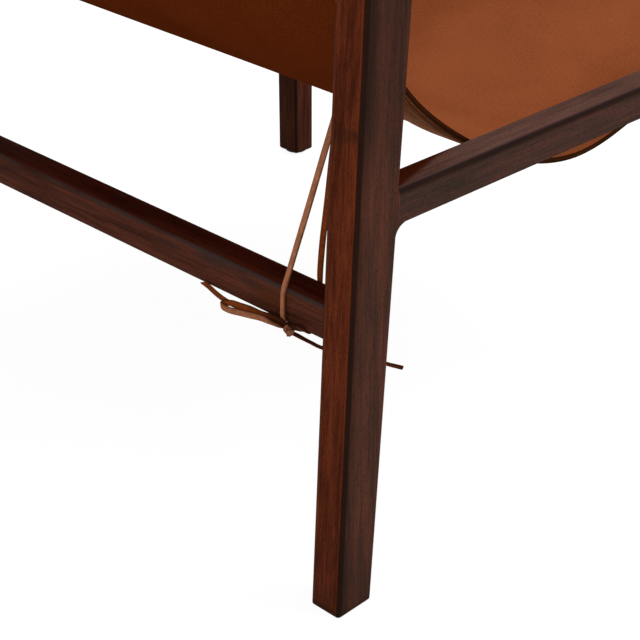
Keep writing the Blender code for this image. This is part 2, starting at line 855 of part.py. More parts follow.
def smooth_route(route, step):
    """Points about a step apart on a smooth curve through the route's own points."""
    points = []
    ends = [route[0] * 2 - route[1], *route, route[-1] * 2 - route[-2]]
    for a, b, c, d in zip(ends, ends[1:], ends[2:], ends[3:]):
        parts = max(1, round((c - b).length / step))
        for part in range(parts):
            t = part / parts
            points.append(
                (
                    b * 2
                    + (c - a) * t
                    + (a * 2 - b * 5 + c * 4 - d) * t**2
                    + (b * 3 - a - c * 3 + d) * t**3
                )
                / 2
            )
    points.append(route[-1])
    return points


def clear_of_knot(points, knot):
    """The stretch of a route outside the knot, each cut end on the knot's clearance."""
    radii = [r + KNOT_CLEARANCE for r in KNOT_RADII]

    def depth(point):
        return math.sqrt(sum(((p - k) / r) ** 2 for p, k, r in zip(point, knot, radii)))

    kept = []
    for point, following in zip(points, [*points[1:], points[-1]]):
        inside, next_inside = depth(point) < 1, depth(following) < 1
        if not inside:
            kept.append(point)
        if inside != next_inside:
            low, high = (point, following) if inside else (following, point)
            for _ in range(20):
                middle = (low + high) / 2
                low, high = (middle, high) if depth(middle) < 1 else (low, middle)
            kept.append(high)
    tidy = [kept[0]]
    for point in kept[1:]:
        if (point - tidy[-1]).length > THONG_DIAMETER / 2:
            tidy.append(point)
        else:
            tidy[-1] = point if depth(point) < depth(tidy[-1]) else tidy[-1]
    return tidy


def make_thong(name, points):
    """A tube along a route."""
    curve = bpy.data.curves.new(name, "CURVE")
    curve.dimensions = "3D"
    curve.bevel_depth = THONG_DIAMETER / 2
    curve.bevel_resolution = TUBE_SIDES_STEPS
    curve.use_fill_caps = True
    spline = curve.splines.new("POLY")
    spline.points.add(len(points) - 1)
    for spot, point in zip(spline.points, points):
        spot.co = (*point, 1.0)
    spline.use_smooth = True
    curve.materials.append(finish_material(f"{name}_finish", THONG_TAN, 0.6))
    thong = bpy.data.objects.new(name, curve)
    bpy.context.collection.objects.link(thong)


def tie_point(side, inward, forward, height):
    """A point of a thong, by its distance in from the leg's outer face."""
    return place(side * (HALF_WIDTH - inward), Vector((forward, height)))


# Route points of the thongs beside the left leg: (inward, forward, height)
KNOT_SPOT = (0.0700, 0.0138, 0.2372)
FRONT_STRAND = (
    (0.0700, 0.0138, 0.2372),
    (0.0738, 0.0148, 0.2440),
    (0.0775, 0.0158, 0.2500),
    (0.0794, 0.0162, 0.2580),
    (0.0796, 0.0164, 0.2665),
    (0.0792, 0.0198, 0.2775),
    (0.0788, 0.0262, 0.2920),
    (0.0786, 0.0450, 0.3345),
    (0.0786, 0.0640, 0.3790),
    (0.0790, 0.0770, 0.4110),
)
REAR_STRAND = (
    (0.0780, 0.0733, 0.4150),
    (0.0760, 0.0668, 0.3740),
    (0.0744, 0.0608, 0.3360),
    (0.0730, 0.0548, 0.3030),
    (0.0718, 0.0506, 0.2780),
    (0.0712, 0.0495, 0.2660),
    (0.0708, 0.0494, 0.2560),
    (0.0704, 0.0493, 0.2450),
    (0.0703, 0.0480, 0.2392),
    (0.0702, 0.0440, 0.2364),
    (0.0700, 0.0370, 0.2361),
    (0.0700, 0.0280, 0.2363),
    (0.0700, 0.0138, 0.2372),
)
FRONT_HOLE = (0.0795, 0.0915)
REAR_HOLE = (0.0800, 0.0805)
LOOP_ROUTE = (
    (0.0700, 0.0138, 0.2372),
    (0.0790, 0.0100, 0.2375),
    (0.0900, 0.0086, 0.2382),
    (0.1010, 0.0084, 0.2370),
    (0.1150, 0.0086, 0.2335),
    (0.1310, 0.0090, 0.2298),
    (0.1430, 0.0098, 0.2295),
    (0.1510, 0.0118, 0.2318),
    (0.1500, 0.0138, 0.2352),
    (0.1390, 0.0144, 0.2376),
    (0.1210, 0.0144, 0.2402),
    (0.1010, 0.0144, 0.2420),
    (0.0870, 0.0128, 0.2410),
    (0.0700, 0.0138, 0.2372),
)
SHORT_TAIL = (
    (0.0700, 0.0138, 0.2372),
    (0.0800, 0.0184, 0.2350),
    (0.0960, 0.0194, 0.2338),
    (0.1150, 0.0198, 0.2330),
    (0.1350, 0.0192, 0.2318),
    (0.1500, 0.0184, 0.2328),
    (0.1640, 0.0178, 0.2362),
    (0.1765, 0.0178, 0.2392),
)
LONG_TAIL = (
    (0.0700, 0.0138, 0.2372),
    (0.0640, 0.0200, 0.2318),
    (0.0600, 0.0280, 0.2252),
    (0.0560, 0.0370, 0.2185),
    (0.0515, 0.0600, 0.2055),
    (0.0455, 0.0830, 0.1965),
    (0.0425, 0.0965, 0.1888),
    (0.0400, 0.1145, 0.1760),
)


def hole_run(side, hole):
    """Points of the thong through a hole in the sling: below, in and above it."""
    inward, forward = hole
    spot, normal = on_sling(forward)
    x = side * (HALF_WIDTH - inward)
    rise = THONG_DIAMETER / 2 + SEAT_GAP
    levels = (-LEATHER_THICK - 2 * THONG_DIAMETER, -LEATHER_THICK / 2, rise)
    return [place(x, spot + normal * level) for level in levels]


def make_tie(word, side, sling):
    """One thong: the tie, its knot, a loop and two tails, and its holes in the sling."""

    def route(points):
        return [tie_point(side, *point) for point in points]

    knot = tie_point(side, *KNOT_SPOT)
    up, down = hole_run(side, FRONT_HOLE), hole_run(side, REAR_HOLE)
    for number, run in enumerate((up, down)):
        axis = (run[2] - run[0]).normalized() * LEATHER_THICK * 2
        hole = guide(
            f"tie_hole_{word}_{number}",
            cylinder_bmesh(run[1] - axis, run[1] + axis, TIE_HOLE_RADIUS, HOLE_SIDES),
        )
        boolean(sling, hole, "DIFFERENCE")
    crown = (up[2] + down[2]) / 2 + (up[2] - up[0]).normalized() * SEAT_GAP
    tie = route(FRONT_STRAND) + up + [crown] + list(reversed(down))
    tie += route(REAR_STRAND)
    make_thong(f"thong_tie_{word}", clear_of_knot(smooth_route(tie, THONG_STEP), knot))
    for name, points in (("loop", LOOP_ROUTE), ("tail_short", SHORT_TAIL), ("tail_long", LONG_TAIL)):
        line = clear_of_knot(smooth_route(route(points), THONG_STEP), knot)
        make_thong(f"thong_{name}_{word}", line)
    bm = bmesh.new()
    bmesh.ops.create_uvsphere(bm, u_segments=14, v_segments=9, radius=1.0)
    for vertex in bm.verts:
        vertex.co = Vector(a * b for a, b in zip(vertex.co, KNOT_RADII)) + knot
    add_object(f"thong_knot_{word}", bm, (THONG_TAN, 0.6))


def centre_on_origin():
    """Move every piece so that the origin is the bottom centre of the chair's box."""
    bpy.context.view_layer.update()
    lengths = []
    graph = bpy.context.evaluated_depsgraph_get()
    for piece in bpy.context.scene.objects:
        if piece.type == "MESH" and not piece.hide_render:
            mesh = piece.evaluated_get(graph).to_mesh()
            lengths += [vertex.co.y for vertex in mesh.vertices]
    middle = (min(lengths) + max(lengths)) / 2
    chair = bpy.data.objects.new("chair", None)
    bpy.context.collection.objects.link(chair)
    for piece in list(bpy.context.scene.objects):
        if piece is not chair:
            piece.parent = chair
    chair.location.y = -middle


def build():
    clear_scene()
    sling = make_sling()
    stretcher = make_stretcher("stretcher_back")
    (top, top_along, _), (front, front_along, _) = rail_axes()
    rail_top = make_sleeve_rail("rail_top", top, top_along, BACK_LEG_WIDTH)
    rail_front = make_sleeve_rail("rail_front", front, front_along, FRONT_LEG_WIDTH)
    tenon_depth = SLEEVE_RAIL_DEPTH - 2 * TENON_SHOULDER - TENON_THICK / 2
    stretcher_tenon = STRETCHER_HEIGHT - 2 * TENON_SHOULDER
    for word, side in SIDES.items():
        back = make_back_leg(f"leg_back_{word}", side)
        leg = make_front_leg(f"leg_front_{word}", side)
        rail = make_side_rail(f"rail_side_{word}", side)
        arm = make_arm(f"arm_{word}", side)
        make_hem(f"sling_hem_{word}", side)
        cut_side_tenon(rail, back, side, back_front, 1)
        cut_side_tenon(rail, leg, side, front_rear, -1)
        upright = Vector((0, 1))
        cut_mortise(
            stretcher, back, side, stretcher_place(), upright, stretcher_tenon, BACK_LEG_WIDTH
        )
        cut_mortise(rail_top, back, side, top, top_along, tenon_depth, BACK_LEG_WIDTH)
        cut_mortise(rail_front, leg, side, front, front_along, tenon_depth, FRONT_LEG_WIDTH)
        join_arm(arm, back, leg, side)
        back_x = side * (HALF_WIDTH - BACK_LEG_WIDTH / 2)
        front_x = side * (HALF_WIDTH - FRONT_LEG_WIDTH / 2)
        make_glide(f"glide_back_{word}", back, back_x, BACK_FOOT_DEPTH / 2)
        make_glide(f"glide_front_{word}", leg, front_x, FOOT_SPAN - FRONT_FOOT_DEPTH / 2)
        make_tie(word, side, sling)
    centre_on_origin()


build()
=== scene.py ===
"""The dressed easy chair: joined wooden side frames, a leather sling and its thong ties.

Side outlines are drawn as (u, z), as in the part's source: u is the distance forward from
the rear face of the back feet, and z is the height above the floor. An inward distance is
measured from the outer face of a side frame. All sizes are in metres.
"""

import math

import bmesh
import bpy
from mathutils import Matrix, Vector


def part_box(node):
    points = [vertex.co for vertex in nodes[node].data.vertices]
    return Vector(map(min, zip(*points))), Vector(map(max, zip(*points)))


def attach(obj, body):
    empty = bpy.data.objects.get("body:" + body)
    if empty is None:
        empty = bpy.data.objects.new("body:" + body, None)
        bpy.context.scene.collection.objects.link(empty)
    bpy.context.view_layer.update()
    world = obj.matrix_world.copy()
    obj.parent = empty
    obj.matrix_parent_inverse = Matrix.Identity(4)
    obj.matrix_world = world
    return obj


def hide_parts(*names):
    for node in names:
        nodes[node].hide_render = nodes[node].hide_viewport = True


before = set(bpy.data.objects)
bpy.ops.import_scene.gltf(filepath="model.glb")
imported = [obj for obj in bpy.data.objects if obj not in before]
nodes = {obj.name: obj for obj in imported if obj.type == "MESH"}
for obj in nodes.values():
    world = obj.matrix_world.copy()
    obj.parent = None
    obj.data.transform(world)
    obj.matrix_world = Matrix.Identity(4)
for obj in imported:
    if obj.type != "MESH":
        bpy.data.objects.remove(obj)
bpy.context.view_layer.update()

# Sizes repeated from the part's source
FRAME_WIDTH = 0.746
FOOT_SPAN = 0.677
LEG_BOTTOM = 0.0025
BACK_LEG_WIDTH = 0.0330
BACK_FOOT_DEPTH = 0.0391
BACK_REAR_LEAN_SHARE = 0.0458
BACK_FRONT_LEAN_SHARE = 0.0695
KNEE_HEIGHT = 0.575
KNEE_ROUND = 0.058
UPPER_LEAN = math.radians(27.5)
UPPER_LENGTH = 0.240
UPPER_END_DEPTH = 0.030
ARRIS_RADIUS = 0.0045
FRONT_LEG_WIDTH = 0.0320
FRONT_FOOT_DEPTH = 0.0305
FRONT_TOP_DEPTH = 0.0365
SIDE_RAIL_WIDTH = 0.0278
STRETCHER_DEPTH = 0.0282
STRETCHER_HEIGHT = 0.0322
STRETCHER_BOTTOM = 0.2398
STRETCHER_SETBACK = 0.0070
STRETCHER_ROUND = 0.0055
SLEEVE_RAIL_THICK = 0.022
SLEEVE_RAIL_DEPTH = 0.034
FRONT_RAIL_HEIGHT = 0.405
FRONT_RAIL_SETBACK = 0.0195
TOP_RAIL_DROP = 0.034
ARM_THICK = 0.022
ARM_REAR_WIDTH = 0.027
ARM_WIDTH = 0.056
ARM_ROUND = 0.007
ARM_REAR_HEIGHT = 0.537
ARM_FRONT_HEIGHT = 0.575
ARM_OVERHANG = 0.020
ARM_NOSE = 0.022
ARM_OUTER_REVEAL = 0.004
LEATHER_THICK = 0.0026
HEM_THICK = 0.0020
HEM_WIDTH_BACK = 0.024
HEM_WIDTH_SEAT = 0.055
HEM_SWELL = (0.088, 0.125)
HEM_GAP = 0.002
PLY_GAP = 0.0003
SLING_INSET = 0.0420
SLEEVE_CLOSE = 0.042
SLEEVE_FLAP = 0.030
SEAT_SLOPE = math.radians(23.0)
TOP_SLOPE = math.radians(73.0)
BEND_SLOPE = math.radians(42.5)
BEND = Vector((0.134, 0.400))
LOW = Vector((0.340, 0.3030))
CURVE_REACH_SHARE = 0.30

# Sizes read more closely off the photograph than the part's own, and finer edges
SIDE_RAIL_DEPTH = 0.0290
SIDE_RAIL_BOTTOM = 0.3371
SIDE_RAIL_FILLET = 0.0100
RAIL_OUTER_RADIUS = 0.0072
RAIL_INNER_RADIUS = 0.0012
STRETCHER_LOW_ROUND = 0.0022
BACK_FOOT_BOTTOM = 0.0001
BACK_FOOT_FRONT_BOTTOM = 0.0018
BACK_FOOT_RADIUS = 0.0026
FRONT_FOOT_RADIUS = 0.0031
HEAD_RADIUS = 0.0055
ARM_HOUSING = 0.006
ARM_END_REACH = 0.004
RAIL_OVERLAP = ARRIS_RADIUS * 1.5
GLIDE_RADIUS = 0.0130

# The tie's two slits in the sling, each as (inward, forward)
FRONT_HOLE = (0.0700, 0.0915)
REAR_HOLE = (0.0705, 0.0805)

# Flat leather thongs
THONG_WIDTH = 0.0052
THONG_THICK = 0.0018
THONG_ROUND_SHARE = 0.42
KNOT_STRAP_WIDTH = 0.0040
# How far a strap's painted shade reaches from its ends, and the share of that over which it fades
PAINTED_SHADE_REACH = 0.036
PAINTED_SHADE_FADE_SHARE = 0.75

# How finely curves are cut
THONG_STEP = 0.0016
THONG_CORNER_STEPS = 3
ARRIS_SEGMENTS = 5
ROUND_SEGMENTS = 7
KNEE_STEPS = 22
FILLET_STEPS = 8
NOSE_STEPS = 28
GLIDE_SIDES = 48
CURVE_STEPS = 44
TURN_STEPS = 20
CLOSE_STEPS = 18
FLAP_STEPS = 6
SLING_COLUMNS = 56
HEM_COLUMNS = 10
SEAM_STEPS = 60

# Faces that meet at more than these angles keep a sharp edge between them
WOOD_CREASE = math.radians(34)
LEATHER_CREASE = math.radians(50)
STRAP_CREASE = math.radians(60)

# Only edges bent more than these are rounded, and those under the last are dissolved
LEAST_ARRIS_ANGLE = math.radians(30)
ARM_ARRIS_ANGLE = math.radians(60)
FLAT_ANGLE = math.radians(0.3)

# How closely two points, heights or faces count as the same
SAME = 1e-6
TOUCH = 1e-5
NEAR = 1e-4

SIDES = {"left": -1, "right": 1}
HALF_WIDTH = FRAME_WIDTH / 2
START_Y = FOOT_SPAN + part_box("leg_front_left")[0].y
SLING_HALF = HALF_WIDTH - SLING_INSET
SLEEVE_RADIUS = SLEEVE_RAIL_THICK / 2 + PLY_GAP + LEATHER_THICK
SLEEVE_STRAIGHT = SLEEVE_RAIL_DEPTH / 2 - SLEEVE_RAIL_THICK / 2
FLAP_RISE = SLEEVE_RADIUS - 2 * LEATHER_THICK - PLY_GAP


def place(x, uz):
    """A point of a side outline at a distance x across the chair."""
    return Vector((x, START_Y - uz[0], uz[1]))


def inward_place(side, inward, forward, height):
    return place(side * (HALF_WIDTH - inward), (forward, height))


def mix(a, b, share):
    return a + (b - a) * share


def ease(share):
    """A share kept between 0 and 1, slow at both ends."""
    share = min(1, max(0, share))
    return share * share * (3 - 2 * share)


# Objects


def object_of(name, bm, materials, crease=WOOD_CREASE):
    """A named object from a bmesh, smooth apart from its sharp edges."""
    mesh = bpy.data.meshes.new(name)
    bm.to_mesh(mesh)
    bm.free()
    piece = bpy.data.objects.new(name, mesh)
    bpy.context.scene.collection.objects.link(piece)
    dress(piece, materials, crease)
    return piece


def dress(piece, materials, crease=WOOD_CREASE):
    """Smooth a piece between its creases and give it its materials."""
    mesh = piece.data
    mesh.shade_smooth()
    mesh.set_sharp_from_angle(angle=crease)
    for material in materials:
        mesh.materials.append(material)


def plain_mesh(piece):
    """Apply a piece's modifiers to its mesh."""
    graph = bpy.context.evaluated_depsgraph_get()
    mesh = bpy.data.meshes.new_from_object(piece.evaluated_get(graph))
    old = piece.data
    piece.modifiers.clear()
    piece.data = mesh
    mesh.name = piece.name
    bpy.data.meshes.remove(old)
    return piece


def finish_piece(piece, slot, *replaced):
    """Hand a finished piece to the frame and hide the solids that it replaces. Its slot is not used."""
    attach(piece, "root")
    if replaced:
        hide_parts(*replaced)


def face_outward(bm):
    bmesh.ops.recalc_face_normals(bm, faces=bm.faces)
    if bm.calc_volume(signed=True) < 0:
        bmesh.ops.reverse_faces(bm, faces=bm.faces)


def wall_between(bm, near, far):
    """Walls between two matching rings of points."""
    for i in range(len(near)):
        j = (i + 1) % len(near)
        bm.faces.new((near[i], far[i], far[j], near[j]))


def block_between(bm, near, far):
    """A closed block between two matching outlines."""
    bm.faces.new(near)
    bm.faces.new(list(reversed(far)))
    wall_between(bm, near, far)
    face_outward(bm)


def prism(outline, x_low, x_high):
    """A block with a side outline, between two distances across."""
    bm = bmesh.new()
    near, far = ([bm.verts.new(place(x, point)) for point in outline] for x in (x_low, x_high))
    block_between(bm, near, far)
    return bm


def note_turn(mesh, axis):
    """Store how far each point has turned towards an axis: 1 on faces square to it, 0 along it."""
    facing = [Vector() for _ in mesh.vertices]
    for polygon in mesh.polygons:
        for vertex in polygon.vertices:
            facing[vertex] += polygon.normal * polygon.area
    turns = []
    for normal in facing:
        straight = abs(normal[axis])
        aside = math.sqrt(max(0, normal.length_squared - straight**2))
        turns.append(math.atan2(straight, aside) / (math.pi / 2))
    mesh.attributes.new("turn", "FLOAT", "POINT").data.foreach_set("value", turns)


# Side outlines


def back_rear(z):
    return Vector(((z - LEG_BOTTOM) * BACK_REAR_LEAN_SHARE, z))


def back_front(z):
    return Vector((BACK_FOOT_DEPTH + (z - LEG_BOTTOM) * BACK_FRONT_LEAN_SHARE, z))


def front_rear(z):
    share = (z - LEG_BOTTOM) / (ARM_FRONT_HEIGHT - LEG_BOTTOM)
    return Vector((FOOT_SPAN - mix(FRONT_FOOT_DEPTH, FRONT_TOP_DEPTH, share), z))


def on_line(a, b, z):
    """The point at height z on the straight line through two points of a side outline."""
    return mix(a, b, (z - a.y) / (b.y - a.y))


def back_leg_face(z):
    """The front face of a back leg, straight from its foot to its knee."""
    return on_line(back_front(LEG_BOTTOM), knee_corners()[1], z)


def front_leg_face(z):
    """The rear face of a front leg, straight from its foot to the arm."""
    rear_foot, rear_head = front_leg_outline()[:2]
    return on_line(rear_foot, rear_head, z)


def upper_direction():
    return Vector((-math.sin(UPPER_LEAN), math.cos(UPPER_LEAN)))


def knee_corners():
    rear = back_rear(KNEE_HEIGHT)
    middle = (math.atan(BACK_REAR_LEAN_SHARE) - UPPER_LEAN) / 2
    normal = Vector((math.cos(middle), -math.sin(middle)))
    return rear, rear + normal * (back_front(KNEE_HEIGHT).x - rear.x)


def back_leg_top():
    rear, front = knee_corners()
    middle = (rear + front) / 2 + upper_direction() * UPPER_LENGTH
    side = Vector((math.cos(UPPER_LEAN), math.sin(UPPER_LEAN))) * UPPER_END_DEPTH / 2
    return middle - side, middle + side


def bent_line(start, corner, end):
    """Start, a smooth bend round the corner, and the end."""
    before = corner + (start - corner).normalized() * KNEE_ROUND
    after = corner + (end - corner).normalized() * KNEE_ROUND
    line = [start]
    for step in range(KNEE_STEPS + 1):
        t = step / KNEE_STEPS
        line.append(mix(mix(before, corner, t), mix(corner, after, t), t))
    return line + [end]


def back_leg_outline():
    rear_corner, front_corner = knee_corners()
    rear_top, front_top = back_leg_top()
    foot_rear = on_line(back_rear(LEG_BOTTOM), rear_corner, BACK_FOOT_BOTTOM)
    rear = bent_line(foot_rear, rear_corner, rear_top)
    front = bent_line(back_leg_face(BACK_FOOT_FRONT_BOTTOM), front_corner, front_top)
    return rear + list(reversed(front))


def arm_slope():
    rear = back_front(ARM_REAR_HEIGHT).x
    return math.atan2(ARM_FRONT_HEIGHT - ARM_REAR_HEIGHT, FOOT_SPAN - rear)


def arm_line(u):
    rear = back_front(ARM_REAR_HEIGHT).x
    return mix(ARM_REAR_HEIGHT, ARM_FRONT_HEIGHT, (u - rear) / (FOOT_SPAN - rear))


def arm_underside(u):
    return arm_line(u) - ARM_THICK / 2 / math.cos(arm_slope())


def front_leg_outline():
    top_rear = front_rear(ARM_FRONT_HEIGHT - ARM_THICK).x
    return [
        front_rear(LEG_BOTTOM),
        Vector((top_rear, arm_underside(top_rear))),
        Vector((FOOT_SPAN, arm_underside(FOOT_SPAN))),
        Vector((FOOT_SPAN, LEG_BOTTOM)),
    ]


def rail_fillet(face, direction):
    """The swept corner under the rail at a leg's face, from its foot up: 1 is forward."""
    points = []
    for step in range(FILLET_STEPS + 1):
        angle = step / FILLET_STEPS * math.pi / 2
        z = SIDE_RAIL_BOTTOM - SIDE_RAIL_FILLET * (1 - math.sin(angle))
        away = SIDE_RAIL_FILLET * (1 - math.cos(angle))
        points.append(Vector((face(z).x + direction * away, z)))
    return points


def side_rail_outline():
    """The rail, run a little into both legs, with swept lower corners."""
    low, top = SIDE_RAIL_BOTTOM - SIDE_RAIL_FILLET, SIDE_RAIL_BOTTOM + SIDE_RAIL_DEPTH
    return [
        Vector((back_leg_face(low).x - RAIL_OVERLAP, low)),
        *rail_fillet(back_leg_face, 1),
        *reversed(rail_fillet(front_leg_face, -1)),
        Vector((front_leg_face(low).x + RAIL_OVERLAP, low)),
        Vector((front_leg_face(top).x + RAIL_OVERLAP, top)),
        Vector((back_leg_face(top).x - RAIL_OVERLAP, top)),
    ]


# Node helpers


def feed(tree, socket, value):
    """Link a socket to another node's output, or set it to a constant."""
    if isinstance(value, bpy.types.NodeSocket):
        tree.links.new(value, socket)
    else:
        socket.default_value = value


def node(tree, kind, inputs=None, **settings):
    """A node with its settings, its inputs linked or set."""
    made = tree.nodes.new(kind)
    for key, value in settings.items():
        setattr(made, key, value)
    for key, value in (inputs or {}).items():
        feed(tree, made.inputs[key], value)
    return made


def fold(tree, operation, values):
    """Join values one after another by an operation of the Math node."""
    result = values[0]
    for value in values[1:]:
        result = node(tree, "ShaderNodeMath", {0: result, 1: value}, operation=operation).outputs[0]
    return result


def plus(tree, *values):
    return fold(tree, "ADD", values)


def minus(tree, *values):
    return fold(tree, "SUBTRACT", values)


def times(tree, *values):
    return fold(tree, "MULTIPLY", values)


def greatest(tree, *values):
    return fold(tree, "MAXIMUM", values)


def is_past(tree, value, limit):
    return fold(tree, "GREATER_THAN", (value, limit))


def is_short_of(tree, value, limit):
    return fold(tree, "LESS_THAN", (value, limit))


def magnitude(tree, value):
    return fold(tree, "ABSOLUTE", (value, 0.0))


def spread(tree, value, low, high, to_low=0.0, to_high=1.0):
    """Stretch a value from one span to another, kept within it."""
    inputs = {"Value": value, "From Min": low, "From Max": high}
    inputs |= {"To Min": to_low, "To Max": to_high}
    return node(tree, "ShaderNodeMapRange", inputs, interpolation_type="SMOOTHSTEP").outputs[0]


def band(tree, value, spans, strength=1.0):
    """1 where a value lies between a rising and a falling span, 0 outside them."""
    rise, fall = spans
    return times(tree, spread(tree, value, *rise), spread(tree, value, *fall), strength)


def blend(tree, share, first, second):
    """A mix of two colours."""
    return node(tree, "ShaderNodeMix", {0: share, 6: first, 7: second}, data_type="RGBA").outputs[2]


def noise(tree, coords, scale, detail=3.0, roughness=0.55, distortion=0.0):
    inputs = {"Vector": coords, "Scale": scale, "Detail": detail}
    inputs |= {"Roughness": roughness, "Distortion": distortion}
    return node(tree, "ShaderNodeTexNoise", inputs).outputs[0]


def scaled(tree, coords, scale, shift=(0, 0, 0)):
    inputs = {"Vector": coords, "Scale": scale, "Location": shift}
    return node(tree, "ShaderNodeMapping", inputs).outputs[0]


def moved(tree, coords, by):
    return node(tree, "ShaderNodeVectorMath", {0: coords, 1: by}, operation="ADD").outputs[0]


def split(tree, coords):
    """The X, Y and Z of a place."""
    return node(tree, "ShaderNodeSeparateXYZ", {"Vector": coords}).outputs


def joined(tree, **parts):
    """A place from its X, Y and Z."""
    return node(tree, "ShaderNodeCombineXYZ", parts).outputs[0]


def object_coords(tree):
    return node(tree, "ShaderNodeTexCoord").outputs["Object"]


def run_coords(tree):
    """Metres across and along a sheet or a strap, from its own map."""
    return node(tree, "ShaderNodeUVMap", uv_map="run").outputs[0]


def stored(tree, name):
    """A value that is stored on the points of a piece."""
    return node(tree, "ShaderNodeAttribute", attribute_name=name).outputs["Fac"]


def new_material(name):
    material = bpy.data.materials.new(name)
    material.use_nodes = True
    tree = material.node_tree
    return material, tree, tree.nodes["Principled BSDF"]


def finish_surface(tree, shader, colour, roughness, relief, strength, depth, specular=0.0):
    """Give a surface its colour, its gloss and the relief of its grain."""
    feed(tree, shader.inputs["Base Color"], colour)
    feed(tree, shader.inputs["Roughness"], roughness)
    shader.inputs["Specular IOR Level"].default_value = specular
    bump = node(tree, "ShaderNodeBump", {"Height": relief, "Strength": strength, "Distance": depth})
    tree.links.new(bump.outputs[0], shader.inputs["Normal"])


def rgb(red, green, blue):
    return (red, green, blue, 1.0)


def toned(tree, tone, pair):
    """A colour between the dark and the light one of a pair."""
    return blend(tree, tone, *pair)


# Wood

# Each tone is a dark and a bright streak of the same stain; some tones also carry painted light by face, as
# noted.
REAR_TONE = (rgb(0.044, 0.0080, 0.0026), rgb(0.166, 0.0335, 0.0110))
# The side tones' grey cast is a painted sheen
SIDE_TONE = (rgb(0.034, 0.0190, 0.0135), rgb(0.108, 0.0350, 0.0205))
# The front leg's rear tone is darkened by painted shade from the sling above it
FRONT_LEG_REAR_TONE = (rgb(0.024, 0.0056, 0.0022), rgb(0.064, 0.0200, 0.0084))
FRONT_LEG_SIDE_TONE = (rgb(0.038, 0.0090, 0.0044), rgb(0.122, 0.0340, 0.0184))
# The rail side tone's grey cast is a painted sheen
RAIL_SIDE_TONE = (rgb(0.030, 0.0200, 0.0160), rgb(0.082, 0.0330, 0.0235))
# The rail top tone's pale pink end is a painted sheen
RAIL_TOP_TONE = (rgb(0.056, 0.0230, 0.0160), rgb(0.130, 0.0590, 0.0420))
# The bar top tone is darkened by painted shade from the sling above
BAR_TOP_TONE = (rgb(0.028, 0.0036, 0.0014), rgb(0.078, 0.0130, 0.0056))
BAR_REAR_TONE = (rgb(0.030, 0.0090, 0.0048), rgb(0.116, 0.0320, 0.0176))

# Single shades laid over the tones
# The colour of painted shade: in the arrises, and on side faces by the rear arris, under the sling and near
# the floor
ARRIS_PAINTED_SHADE = rgb(0.0135, 0.0064, 0.0044)
PORE_SHADE = rgb(0.0120, 0.0034, 0.0016)
FIGURE_SHADE = rgb(0.034, 0.0110, 0.0050)
FOOT_SHADE = rgb(0.028, 0.0085, 0.0040)
# The colour of the painted shade high on the legs
HEAD_SHADE = rgb(0.048, 0.0085, 0.0002)
# The colour of the painted dark reflection on the rail top beside the back leg
RAIL_CORNER_DARK_REFLECTION = rgb(0.043, 0.0060, 0.0009)
RAIL_SHEEN = rgb(0.066, 0.0340, 0.0350)
BAR_SHEEN = rgb(0.046, 0.0330, 0.0290)
# A greyer, darker patch on the stretcher
BAR_GREY_PATCH = rgb(0.034, 0.0190, 0.0150)
BAR_WARMTH = rgb(0.078, 0.0200, 0.0048)

# Where a joined frame darkens, each as (start, end, share at start, share at end), by height
# above the floor: painted shade under the sling, near the floor and high up, and darker feet
HIGH_PAINTED_SHADE = (0.36, 0.46, 0, 0.34)
LOW_PAINTED_SHADE = (0.10, 0.01, 0, 0.26)
HEAD_PAINTED_SHADE = (0.50, 0.60, 0, 0.5)
FOOT_DARKENING = (0.038, 0.008, 0, 0.46)
FOOT_TIP = (0.0095, 0.0010, 0, 0.6)

# The same by distance forward of the back leg's rear face: painted shade by the rear arris,
# and the back leg's front arris left with less painted arris shade
REAR_PAINTED_SHADE = (0.0170, 0.0040, 0, 0.42)
PALE_FRONT_ARRIS = (0.024, 0.032, 0, 0.85)

# The rail's dark corner behind the back leg, a painted dark reflection, runs aslant over its width
RAIL_CORNER_REACH = (0.002, -0.018)
RAIL_CORNER_SLANT = 3.24
RAIL_MARGIN = 0.001

# Bands of the stored turn: a rising span and a falling span
FACE_TURN = (0.35, 0.85)
REAR_FACE_TURN = (0.50, 0.15)
# A painted highlight along an arris's faces, then painted shade in its turn
ARRIS_HIGHLIGHT_BAND = ((0.01, 0.08), (0.22, 0.10))
ARRIS_BAND = ((0.12, 0.30), (0.999, 0.72))
BAR_SHEEN_BAND = ((0.36, 0.56), (0.93, 0.74))
RAIL_SHEEN_BAND = ((0.06, 0.20), (0.50, 0.30))
FRAME_ARRIS_STRENGTH = 0.9

# Each layer of grain is (stretch share along the grain, scale, detail, roughness).
GRAIN_LAYERS = {
    "broad": (0.16, 55, 2, 0.5),
    "bands": (0.05, 260, 3, 0.6),
    "streaks": (0.035, 900, 4, 0.65),
    "pores": (0.030, 2600, 2, 0.5),
}
DRIFT_LAYER = (0.10, 34, 2, 0.5)
FLECK_LAYER = (0.4, 800, 3, 0.7)
GRAIN_SWAY = (0.012, 0.009)

# What each layer adds to the tone, as (low, high, least, most)
TONE_PARTS = {
    "broad": (0.36, 0.64, 0, 0.34),
    "bands": (0.38, 0.62, 0, 0.36),
    "streaks": (0.36, 0.64, 0, 0.30),
}
PORE_SPAN = (0.57, 0.72)
FLECK_SPAN = (0.48, 0.68, 0, 0.42)
FIGURE_FADE = (1.7, 0.8)
LACQUER_ROUGHNESS = 0.36
LACQUER_SPECULAR = 0.012
PORE_DEPTH = 0.00020


def grain_coords(tree, coords, along, seed):
    """Object coordinates reordered so that the grain runs along Z, moved to a fresh place."""
    parts = split(tree, coords)
    order = {"X": "YZX", "Y": "XZY", "Z": "XYZ"}[along]
    ordered = joined(tree, **{to: parts[name] for to, name in zip("XYZ", order)})
    return scaled(tree, ordered, (1, 1, 1), (seed * 0.37, seed * 0.73, seed * 0.51))


def grain_layer(tree, run, stretch, scale, detail, roughness):
    return noise(tree, scaled(tree, run, (1, 1, stretch)), scale, detail, roughness)


